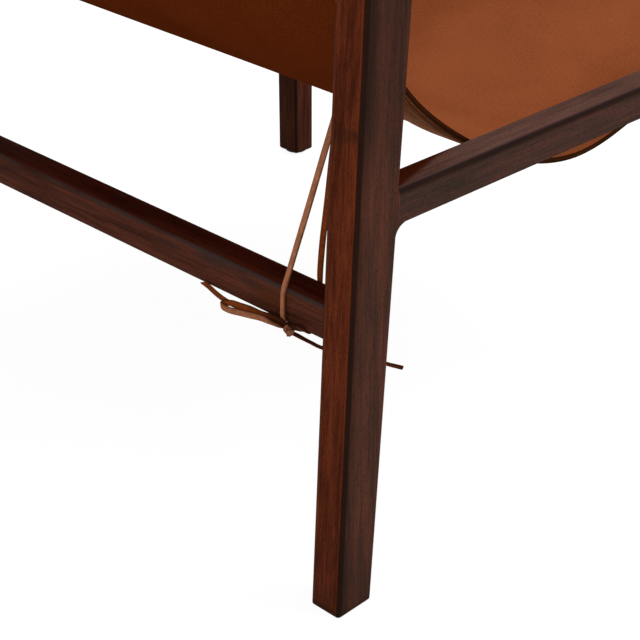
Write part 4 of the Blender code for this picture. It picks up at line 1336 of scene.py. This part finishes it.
def smooth_route(route, step):
    """Points about a step apart on a smooth curve through (place, face normal) pairs."""
    spots = [Vector(p) for p, _ in route]
    faces = [Vector(n).normalized() for _, n in route]
    points, normals = [], []
    ends = [spots[0] * 2 - spots[1], *spots, spots[-1] * 2 - spots[-2]]
    for index, (a, b, c, d) in enumerate(zip(ends, ends[1:], ends[2:], ends[3:])):
        parts = max(1, round((c - b).length / step))
        for part in range(parts):
            t = part / parts
            pull = (c - a) * t
            bend = (a * 2 - b * 5 + c * 4 - d) * t**2
            twist = (b * 3 - a - c * 3 + d) * t**3
            points.append((b * 2 + pull + bend + twist) / 2)
            normals.append(mix(faces[index], faces[index + 1], ease(t)).normalized())
    points.append(spots[-1])
    normals.append(faces[-1])
    return points, normals


def strap_section(width):
    """A flat strap's section with soft corners, as (across, out of the face)."""
    soft = THONG_THICK * THONG_ROUND_SHARE
    half_w, half_t = width / 2 - soft, THONG_THICK / 2 - soft
    section = []
    corners = ((half_w, half_t), (-half_w, half_t), (-half_w, -half_t), (half_w, -half_t))
    for quarter, (x, y) in enumerate(corners):
        for step in range(THONG_CORNER_STEPS + 1):
            angle = (quarter + step / THONG_CORNER_STEPS) * math.pi / 2
            section.append((x + soft * math.cos(angle), y + soft * math.sin(angle)))
    return section


def add_ribbon(bm, points, normals, slants=(0, 0), width=THONG_WIDTH, painted_shade=(0, 0, 0)):
    """Add a flat strap along a line.

    Slants say how far its two cut ends lean, and the last argument how much painted shade
    it takes at its start, along it and at its end.
    """
    uv = bm.loops.layers.uv.get("run") or bm.loops.layers.uv.new("run")
    dark = bm.verts.layers.float.get("painted_shade") or bm.verts.layers.float.new("painted_shade")
    section = strap_section(width)
    run = lengths_of(points)
    rows = []
    for i, (point, normal) in enumerate(zip(points, normals)):
        tangent = (points[min(i + 1, len(points) - 1)] - points[max(i - 1, 0)]).normalized()
        across = normal.cross(tangent).normalized()
        face = tangent.cross(across).normalized()
        from_ends = (run[i], run[-1] - run[i])
        lean = sum(slant * max(0, 1 - away / (2 * width)) for slant, away in zip(slants, from_ends))
        row = [bm.verts.new(point + face * t + (across + tangent * lean) * w) for w, t in section]
        first, last = (ease((PAINTED_SHADE_REACH - a) / (PAINTED_SHADE_REACH * PAINTED_SHADE_FADE_SHARE)) for a in from_ends)
        for vertex in row:
            vertex[dark] = mix(mix(painted_shade[1], painted_shade[0], first), painted_shade[2], last)
        rows.append(row)
    count = len(section)
    for i in range(len(rows) - 1):
        for k in range(count):
            j = (k + 1) % count
            face = bm.faces.new((rows[i][k], rows[i][j], rows[i + 1][j], rows[i + 1][k]))
            face.material_index = 0 if section[k][1] + section[j][1] > SAME else 1
            for loop, (a, b) in zip(face.loops, ((k, i), (j, i), (j, i + 1), (k, i + 1))):
                loop[uv].uv = (section[a][0] / width, run[b])
    bm.faces.new(list(reversed(rows[0])))
    bm.faces.new(rows[-1])


# Each route point is (inward, forward, height) with the facing of the strap there
# as (inward, forward, up).
TIE_FRONT = (
    ((0.0728, 0.0138, 0.2391), (0.0, -1.0, 0.0)),
    ((0.0772, 0.0144, 0.2432), (0.0, -1.0, 0.0)),
    ((0.0797, 0.0158, 0.2480), (0.0, -1.0, 0.0)),
    ((0.0806, 0.0168, 0.2535), (0.0, -1.0, 0.0)),
    ((0.0809, 0.0171, 0.2600), (0.0, -1.0, 0.0)),
    ((0.0806, 0.0174, 0.2662), (0.0, -1.0, 0.2)),
    ((0.0803, 0.0190, 0.2722), (-0.1, -1.0, 0.5)),
    ((0.0801, 0.0225, 0.2805), (-0.1, -1.0, 0.5)),
    ((0.0798, 0.0275, 0.2930), (-0.2, -1.0, 0.45)),
    ((0.0794, 0.0450, 0.3345), (-0.5, -1.0, 0.4)),
    ((0.0794, 0.0640, 0.3790), (-0.8, -1.0, 0.4)),
    ((0.0784, 0.0770, 0.4110), (-0.9, -0.9, 0.3)),
)
TIE_REAR = (
    ((0.0752, 0.0733, 0.4150), (0.6, 1.0, -0.2)),
    ((0.0756, 0.0668, 0.3740), (0.6, 1.0, -0.2)),
    ((0.0750, 0.0608, 0.3360), (0.6, 1.0, -0.2)),
    ((0.0742, 0.0548, 0.3030), (0.5, 1.0, -0.2)),
    ((0.0730, 0.0508, 0.2780), (0.3, 1.0, -0.1)),
    ((0.0712, 0.0488, 0.2650), (0.0, 1.0, 0.0)),
    ((0.0708, 0.0484, 0.2560), (0.0, 1.0, 0.0)),
    ((0.0704, 0.0483, 0.2460), (0.0, 1.0, -0.1)),
    ((0.0695, 0.0470, 0.2396), (0.0, 0.7, -0.7)),
    ((0.0680, 0.0435, 0.2378), (0.0, 0.1, -1.0)),
    ((0.0640, 0.0350, 0.2375), (0.0, 0.0, -1.0)),
    ((0.0592, 0.0270, 0.2378), (0.0, 0.0, -1.0)),
    ((0.0570, 0.0212, 0.2384), (0.0, -0.4, -0.9)),
    ((0.0584, 0.0170, 0.2413), (0.0, -0.9, -0.5)),
    ((0.0625, 0.0164, 0.2417), (0.0, -1.0, -0.1)),
    ((0.0668, 0.0163, 0.2410), (0.0, -1.0, 0.0)),
    ((0.0708, 0.0162, 0.2405), (0.0, -1.0, 0.0)),
    ((0.0748, 0.0162, 0.2405), (0.0, -1.0, 0.0)),
)
LOOP = (
    ((0.0732, 0.0122, 0.2392), (0.0, -0.5, -0.9)),
    ((0.0831, 0.0105, 0.2396), (0.0, -0.9, -0.5)),
    ((0.0971, 0.0096, 0.2400), (0.0, -1.0, 0.35)),
    ((0.1107, 0.0092, 0.2377), (0.0, -1.0, 0.75)),
    ((0.1225, 0.0092, 0.2355), (0.0, -1.0, 0.75)),
    ((0.1331, 0.0094, 0.2333), (0.2, -1.0, 0.6)),
    ((0.1425, 0.0102, 0.2323), (0.7, -1.0, 0.3)),
    ((0.1473, 0.0116, 0.2331), (1.0, -0.2, 0.2)),
    ((0.1455, 0.0130, 0.2345), (0.6, 0.8, 0.0)),
    ((0.1363, 0.0135, 0.2375), (0.1, 1.0, -0.3)),
    ((0.1270, 0.0136, 0.2386), (0.0, 1.0, -0.3)),
    ((0.1152, 0.0136, 0.2401), (0.0, 1.0, -0.3)),
    ((0.1019, 0.0132, 0.2408), (0.0, 1.0, -0.3)),
    ((0.0889, 0.0129, 0.2428), (0.0, 1.0, -0.2)),
    ((0.0788, 0.0130, 0.2432), (0.0, 1.0, -0.1)),
    ((0.0735, 0.0134, 0.2404), (0.0, 1.0, 0.0)),
)
SHORT_TAIL = (
    ((0.0740, 0.0142, 0.2384), (0.2, 1.0, 0.1)),
    ((0.0790, 0.0149, 0.2394), (0.2, 1.0, 0.1)),
    ((0.0861, 0.0158, 0.2399), (0.2, 1.0, 0.1)),
    ((0.0964, 0.0166, 0.2388), (0.2, 1.0, 0.1)),
    ((0.1098, 0.0171, 0.2365), (0.2, 1.0, 0.1)),
    ((0.1242, 0.0172, 0.2347), (0.2, 1.0, 0.1)),
    ((0.1384, 0.0172, 0.2336), (0.2, 1.0, 0.1)),
    ((0.1498, 0.0172, 0.2342), (0.2, 1.0, 0.1)),
    ((0.1601, 0.0172, 0.2364), (0.2, 1.0, 0.1)),
    ((0.1686, 0.0172, 0.2393), (0.2, 1.0, 0.1)),
    ((0.1758, 0.0172, 0.2410), (0.2, 1.0, 0.1)),
)
LONG_TAIL = (
    ((0.0680, 0.0155, 0.2355), (0.2, -0.2, -1.0)),
    ((0.0640, 0.0200, 0.2318), (0.2, -0.1, -1.0)),
    ((0.0600, 0.0280, 0.2252), (0.15, -0.12, -1.0)),
    ((0.0560, 0.0370, 0.2185), (0.15, -0.12, -1.0)),
    ((0.0515, 0.0600, 0.2055), (0.15, -0.2, -1.0)),
    ((0.0455, 0.0830, 0.1950), (0.2, -0.3, -1.0)),
    ((0.0425, 0.0965, 0.1862), (0.25, -0.2, -1.0)),
    ((0.0400, 0.1145, 0.1760), (0.3, -0.1, -1.0)),
)


def outward_turn(side, facing):
    """A facing beside a leg, given as (inward, forward, up), in the row frame."""
    return Vector((-side * facing[0], -facing[1], facing[2]))


def strap_route(side, points):
    """Turn route points beside a leg into places and facings in the row frame."""
    return [(inward_place(side, *spot), outward_turn(side, facing)) for spot, facing in points]


def on_sling(forward):
    """The sling's upper line and its normal at a distance forward."""
    line = sling_run()
    sides = normals_of(line)
    for i in range(len(line) - 1):
        if line[i].x <= forward <= line[i + 1].x:
            share = (forward - line[i].x) / (line[i + 1].x - line[i].x)
            return mix(line[i], line[i + 1], share), mix(sides[i], sides[i + 1], share)
    return line[0], sides[0]


SLIT_CLEARANCE = 0.0035
LIE_CLEARANCE = 0.0006


def slit_crossing(side, inward, forward):
    """Where a strap passes a slit: below, inside and above the leather, and the face's normal."""
    spot, normal = on_sling(forward)
    depths = (-LEATHER_THICK - SLIT_CLEARANCE, -LEATHER_THICK / 2, THONG_THICK / 2 + LIE_CLEARANCE)
    x = side * (HALF_WIDTH - inward)
    return *(place(x, spot + normal * depth) for depth in depths), Vector((0, -normal.x, normal.y))


def tie_route(side):
    """The whole tie: up in front of the stretcher, through the sling and down behind it."""
    below_1, inside_1, above_1, out_1 = slit_crossing(side, *FRONT_HOLE)
    below_2, inside_2, above_2, out_2 = slit_crossing(side, *REAR_HOLE)
    down = Vector((0, -1, -1)).normalized()
    route = strap_route(side, TIE_FRONT)
    route += [(below_1, down), (inside_1, down), (above_1, out_1)]
    route += [((above_1 + above_2) / 2 + out_1 * LIE_CLEARANCE, out_1), (above_2, out_2)]
    route += [(inside_2, -down), (below_2, -down)]
    return route + strap_route(side, TIE_REAR)


# Each turn of the knot is (centre, axis, radius), as (inward, forward, height).
KNOT_TURNS = (
    ((0.0714, 0.0136, 0.2381), (0.9, 0.1, 0.30), 0.0019),
    ((0.0692, 0.0143, 0.2366), (0.35, 0.3, 0.90), 0.0016),
    ((0.0704, 0.0130, 0.2360), (-0.5, 0.6, 0.55), 0.0015),
)
# Painted shade over the knot's turns, at their starts, along them and at their ends
KNOT_PAINTED_SHADE = (0.4, 0.35, 0.4)
KNOT_STEPS = 33
KNOT_STEPS_ROUND = 30
KNOT_PITCH = 0.0016
KNOT_GROWTH_SHARE = 0.6


def make_knot(word, side, materials):
    """Turns of strap pulled tight round each other, each a little more than full."""
    bm = bmesh.new()
    for centre, axis, radius in KNOT_TURNS:
        middle = inward_place(side, *centre)
        axis = outward_turn(side, axis).normalized()
        first = axis.orthogonal().normalized()
        second = axis.cross(first)
        points, normals = [], []
        for step in range(KNOT_STEPS + 1):
            share = step / KNOT_STEPS
            angle = step / KNOT_STEPS_ROUND * 2 * math.pi
            out = first * math.cos(angle) + second * math.sin(angle)
            reach = radius + share * THONG_THICK * KNOT_GROWTH_SHARE
            points.append(middle + out * reach + axis * (share - 0.5) * KNOT_PITCH)
            normals.append(out)
        add_ribbon(bm, points, normals, width=KNOT_STRAP_WIDTH, painted_shade=KNOT_PAINTED_SHADE)
    face_outward(bm)
    return object_of(f"strap_knot_{word}", bm, materials, STRAP_CREASE)


def make_straps(word, side, materials):
    """The tie, its loop, two tails and knot beside one leg.

    Each strap is (name, route, slants of its ends, its painted shade, far end, lay).
    """
    straps = (
        ("tie", tie_route(side), (0, 0), (0.15, 0, 1.0), "object", "taut"),
        ("loop", strap_route(side, LOOP), (0, 0), (0.45, 0.08, 0.9), "object", "loose"),
        ("tail_short", strap_route(side, SHORT_TAIL), (0, side * 1.2), (0.9, 0.3, 0.35), "bare", "loose"),
        ("tail_long", strap_route(side, LONG_TAIL), (0, side * 0.9), (0.8, 0.66, 0.8), "bare", "loose"),
    )
    for part, route, slants, painted_shade, far_end, lay in straps:
        points, facings = smooth_route(route, THONG_STEP)
        bm = bmesh.new()
        add_ribbon(bm, points, facings, slants, painted_shade=painted_shade)
        face_outward(bm)
        piece = object_of(f"strap_{part}_{word}", bm, materials, STRAP_CREASE)
        finish_piece(piece, "thong_leather", f"thong_{part}_{word}")
    knot = make_knot(word, side, materials)
    finish_piece(knot, "thong_leather", f"thong_knot_{word}")


# Stitches

# Named inputs of the stitch tree
STITCH_SIZES = {"Pitch": 0.006, "Stitch length": 0.0042, "Stitch radius": 0.0005}
STITCH_TAPER = 3.2

# The two seams' distances into a sleeve's flap, and how far thread stands off the leather
SEAM_REACHES = (0.007, 0.014)
THREAD_STAND = 0.0002
SEAM_INSET = 0.006


def stitch_tree(material):
    """Geometry nodes that set small waxed stitches along a curve."""
    tree = bpy.data.node_groups.new("stitch_row", "GeometryNodeTree")
    face = tree.interface
    face.new_socket("Geometry", in_out="INPUT", socket_type="NodeSocketGeometry")
    for label, size in STITCH_SIZES.items():
        face.new_socket(label, in_out="INPUT", socket_type="NodeSocketFloat").default_value = size
    face.new_socket("Geometry", in_out="OUTPUT", socket_type="NodeSocketGeometry")
    start = node(tree, "NodeGroupInput").outputs
    pitch, length, radius = (start[label] for label in STITCH_SIZES)
    curve = node(tree, "GeometryNodeMeshToCurve", {"Mesh": start["Geometry"]}).outputs[0]
    spots = node(tree, "GeometryNodeCurveToPoints", {"Curve": curve, "Length": pitch}, mode="LENGTH").outputs
    sizes = {"Vertices": 8, "Side Segments": 4, "Fill Segments": 1, "Radius": radius, "Depth": length}
    grain = node(tree, "GeometryNodeMeshCylinder", sizes, fill_type="NGON").outputs["Mesh"]
    parts = split(tree, node(tree, "GeometryNodeInputPosition").outputs[0])
    share = fold(tree, "DIVIDE", (parts["Z"], length))
    hump = minus(tree, 1.0, times(tree, share, share, STITCH_TAPER))
    thin = joined(tree, X=times(tree, parts["X"], hump), Y=times(tree, parts["Y"], hump), Z=parts["Z"])
    shaped = node(tree, "GeometryNodeSetPosition", {"Geometry": grain, "Position": thin}).outputs[0]
    along = {"Vector": spots["Tangent"]}
    turned = node(tree, "FunctionNodeAlignRotationToVector", along, axis="Z").outputs[0]
    inputs = {"Points": spots["Points"], "Instance": shaped, "Rotation": turned}
    rows = node(tree, "GeometryNodeInstanceOnPoints", inputs).outputs[0]
    real = node(tree, "GeometryNodeRealizeInstances", {"Geometry": rows}).outputs[0]
    smooth = node(tree, "GeometryNodeSetShadeSmooth", {"Geometry": real}).outputs[0]
    done = node(tree, "GeometryNodeSetMaterial", {"Geometry": smooth, "Material": material}).outputs[0]
    node(tree, "NodeGroupOutput", {"Geometry": done})
    return tree


def stitch_rows(name, lines, tree):
    """Stitches along a set of straight seams."""
    mesh = bpy.data.meshes.new(name)
    points, edges = [], []
    for line in lines:
        first = len(points)
        points += [tuple(point) for point in line]
        edges += [(first + i, first + i + 1) for i in range(len(line) - 1)]
    mesh.from_pydata(points, edges, [])
    seam = bpy.data.objects.new(name, mesh)
    bpy.context.scene.collection.objects.link(seam)
    seam.modifiers.new("stitches", "NODES").node_group = tree
    return plain_mesh(seam)


def seam_lines():
    """Two seams through each sleeve's flap, on the seat side and under it."""
    edge = SLING_HALF - SEAM_INSET
    lines = []
    for centre, along, normal in rail_axes():
        for reach in SEAM_REACHES:
            back = SLEEVE_STRAIGHT + SLEEVE_CLOSE + reach
            for rise in (SLEEVE_RADIUS + THREAD_STAND, FLAP_RISE - THREAD_STAND):
                spot = centre - along * back + normal * rise
                across = [mix(-edge, edge, step / SEAM_STEPS) for step in range(SEAM_STEPS + 1)]
                lines.append([place(x, spot) for x in across])
    return lines


# Stage

FLOOR_SIZE = 12.0
FLOOR_GLOW = 1.145
FLOOR_GLOW_SHARE = 0.80
ROOM_LIGHT = 0.45
ROOM_LIGHT_SEEN = 0.55
SENSOR_WIDTH = 36
LENS = 106.9246
CAMERA_PLACE = (-1.2519, 1.2123, 0.9499)
CAMERA_TURN = (61.906, -0.149, -134.845)

# Each soft light is (name, place, what it is aimed at, size, power).
LIGHTS = (
    ("rear_left", (-2.2, 2.6, 1.6), (0, 0.1, 0.4), 1.8, 30),
    ("front_left", (-2.4, -1.6, 2.2), (0, 0, 0.4), 2.0, 40),
    ("overhead", (0.4, -0.6, 3.2), (0, 0, 0.3), 2.4, 45),
)


def add_object(name, data):
    made = bpy.data.objects.new(name, data)
    bpy.context.scene.collection.objects.link(made)
    return made


def seen_share(tree):
    """1 where the camera looks, straight or by a reflection, and 0 for the light that falls."""
    path = node(tree, "ShaderNodeLightPath").outputs
    return greatest(tree, *(path[f"Is {kind} Ray"] for kind in ("Camera", "Glossy", "Transmission")))


def make_stage():
    """A pale floor that fades to white, and the room's white."""
    bm = bmesh.new()
    bmesh.ops.create_grid(bm, x_segments=1, y_segments=1, size=FLOOR_SIZE)
    material, tree, shader = new_material("floor_white")
    shader.inputs["Base Color"].default_value = rgb(0.86, 0.86, 0.86)
    shader.inputs["Roughness"].default_value = 0.8
    shader.inputs["Specular IOR Level"].default_value = 0.1
    glow = node(tree, "ShaderNodeEmission", {"Color": rgb(1, 1, 1), "Strength": FLOOR_GLOW}).outputs[0]
    share = times(tree, seen_share(tree), FLOOR_GLOW_SHARE)
    both = node(tree, "ShaderNodeMixShader", {0: share, 1: shader.outputs[0], 2: glow}).outputs[0]
    tree.links.new(both, tree.nodes["Material Output"].inputs["Surface"])
    object_of("floor", bm, [material])
    world = bpy.data.worlds.new("room")
    bpy.context.scene.world = world
    world.use_nodes = True
    tree = world.node_tree
    back = tree.nodes["Background"]
    back.inputs["Color"].default_value = rgb(1, 1, 1)
    strength = plus(tree, times(tree, seen_share(tree), ROOM_LIGHT_SEEN), ROOM_LIGHT)
    tree.links.new(strength, back.inputs["Strength"])


def add_light(name, spot, target, size, power):
    data = bpy.data.lights.new(name, "AREA")
    data.shape = "RECTANGLE"
    data.size = data.size_y = size
    data.energy = power
    light = add_object(name, data)
    light.location = spot
    light.rotation_euler = (Vector(target) - Vector(spot)).to_track_quat("-Z", "Y").to_euler()


def make_camera():
    data = bpy.data.cameras.new("camera")
    data.sensor_width = SENSOR_WIDTH
    data.lens = LENS
    data.clip_end = 50
    camera = add_object("camera", data)
    camera.location = CAMERA_PLACE
    camera.rotation_euler = [math.radians(angle) for angle in CAMERA_TURN]
    bpy.context.scene.camera = camera


# The chair

THONG_FACE_TONES = (rgb(0.250, 0.0880, 0.0400), rgb(0.500, 0.2000, 0.1020))
# The strap's brown side, redder than its pale face; turned outward on strands that lie in shade, it is
# partly painted shade there
THONG_BACK_TONES = (rgb(0.140, 0.0290, 0.0060), rgb(0.290, 0.0640, 0.0150))
SEAT_TONES = (rgb(0.190, 0.0480, 0.0160), rgb(0.345, 0.0990, 0.0350))
OUTER_TONES = (rgb(0.078, 0.0135, 0.0024), rgb(0.150, 0.0285, 0.0062))

# Marks on the left back leg and beside it on the stretcher, each as
# ((inward, forward, height), size, strength, shade)
LEG_MARKS = (
    ((0.0270, 0.022, 0.4160), (0.0100, 0.014, 0.0120), 0.62, FIGURE_SHADE),
    ((0.0175, 0.022, 0.4185), (0.0100, 0.014, 0.0082), 0.62, FIGURE_SHADE),
    ((0.0085, 0.022, 0.4200), (0.0085, 0.014, 0.0050), 0.66, FIGURE_SHADE),
    ((0.0062, 0.022, 0.4880), (0.0022, 0.010, 0.0034), 0.6, FIGURE_SHADE),
)
STRETCHER_MARKS = (
    ((0.170, 0.020, 0.2640), (0.030, 0.012, 0.0080), 0.75, BAR_GREY_PATCH),
    ((0.126, 0.020, 0.2600), (0.020, 0.012, 0.0060), 0.55, BAR_GREY_PATCH),
    ((0.225, 0.020, 0.2610), (0.022, 0.012, 0.0055), 0.45, BAR_GREY_PATCH),
    ((0.105, 0.020, 0.2555), (0.024, 0.012, 0.0105), 0.6, BAR_WARMTH),
)


def marks_on_left(marks):
    return [(inward_place(SIDES["left"], *spot), *rest) for spot, *rest in marks]


make_camera()
make_stage()
for light in LIGHTS:
    add_light(*light)

thong_sides = [
    thong_leather("thong_pale_side", THONG_FACE_TONES),
    thong_leather("thong_brown_side", THONG_BACK_TONES),
]
for word, side in SIDES.items():
    make_straps(word, side, thong_sides)

frame_woods = {
    "left": side_frame_wood("frame_wood_left", 1, marks_on_left(LEG_MARKS)),
    "right": side_frame_wood("frame_wood_right", 4),
}
arm_wood = bar_wood("arm_wood", "Y", 2, (BAR_REAR_TONE, SIDE_TONE), 0.3)
rail_wood = bar_wood("bar_wood", "X", 3, (BAR_TOP_TONE, BAR_REAR_TONE), 0.25)
stretcher_wood = bar_wood(
    "stretcher_wood", "X", 3, (BAR_TOP_TONE, BAR_REAR_TONE), 0.25, marks_on_left(STRETCHER_MARKS)
)
for word, side in SIDES.items():
    body = side_frame(f"side_frame_{word}", side, [frame_woods[word]])
    finish_piece(body, "wood", f"leg_back_{word}", f"rail_side_{word}", f"leg_front_{word}")
    arm = make_arm(f"arm_rest_{word}", side, [arm_wood])
    finish_piece(arm, "wood", f"arm_{word}")
stretcher = rounded_bar(
    "rear_stretcher",
    stretcher_outline(),
    HALF_WIDTH - BACK_LEG_WIDTH,
    (STRETCHER_LOW_ROUND, STRETCHER_ROUND),
    [stretcher_wood],
)
finish_piece(stretcher, "wood", "stretcher_back")
for name in ("rail_top", "rail_front"):
    nodes[name].material_slots[0].material = rail_wood

seat_face = leather(
    "sling_seat_tan", SEAT_TONES, rough=0.5, grain_depth=0.00012, mottle=0.42, cloud_scale=6.0
)
outer_face = leather(
    "sling_outer_brown", OUTER_TONES, rough=0.7, grain_depth=0.00018, mottle=0.7, cloud_scale=10.0
)
edge_finish = cut_edge("sling_cut_edge")
rough_side = flesh_side("hem_rough_side")
line = whole_sling_line()
sling = sheet_body(
    "sling",
    line,
    [(-SLING_HALF, SLING_HALF)] * len(line),
    SLING_COLUMNS,
    (0, LEATHER_THICK),
    [seat_face, outer_face, edge_finish],
)
finish_piece(sling, "sling_leather", "sling_panel")
for word, side in SIDES.items():
    hem = make_hem(word, side, [rough_side, rough_side, edge_finish])
    finish_piece(hem, "hem_leather", f"sling_hem_{word}")
stitches = stitch_rows("sleeve_stitches", seam_lines(), stitch_tree(waxed_thread()))
finish_piece(stitches, "thong_leather")

glide = glide_plastic()
for end in ("back", "front"):
    for word in SIDES:
        low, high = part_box(f"glide_{end}_{word}")
        pad = make_glide(f"foot_pad_{end}_{word}", (low + high) / 2, glide)
        finish_piece(pad, "glide", f"glide_{end}_{word}")

bpy.context.scene.view_settings.view_transform = "Standard"
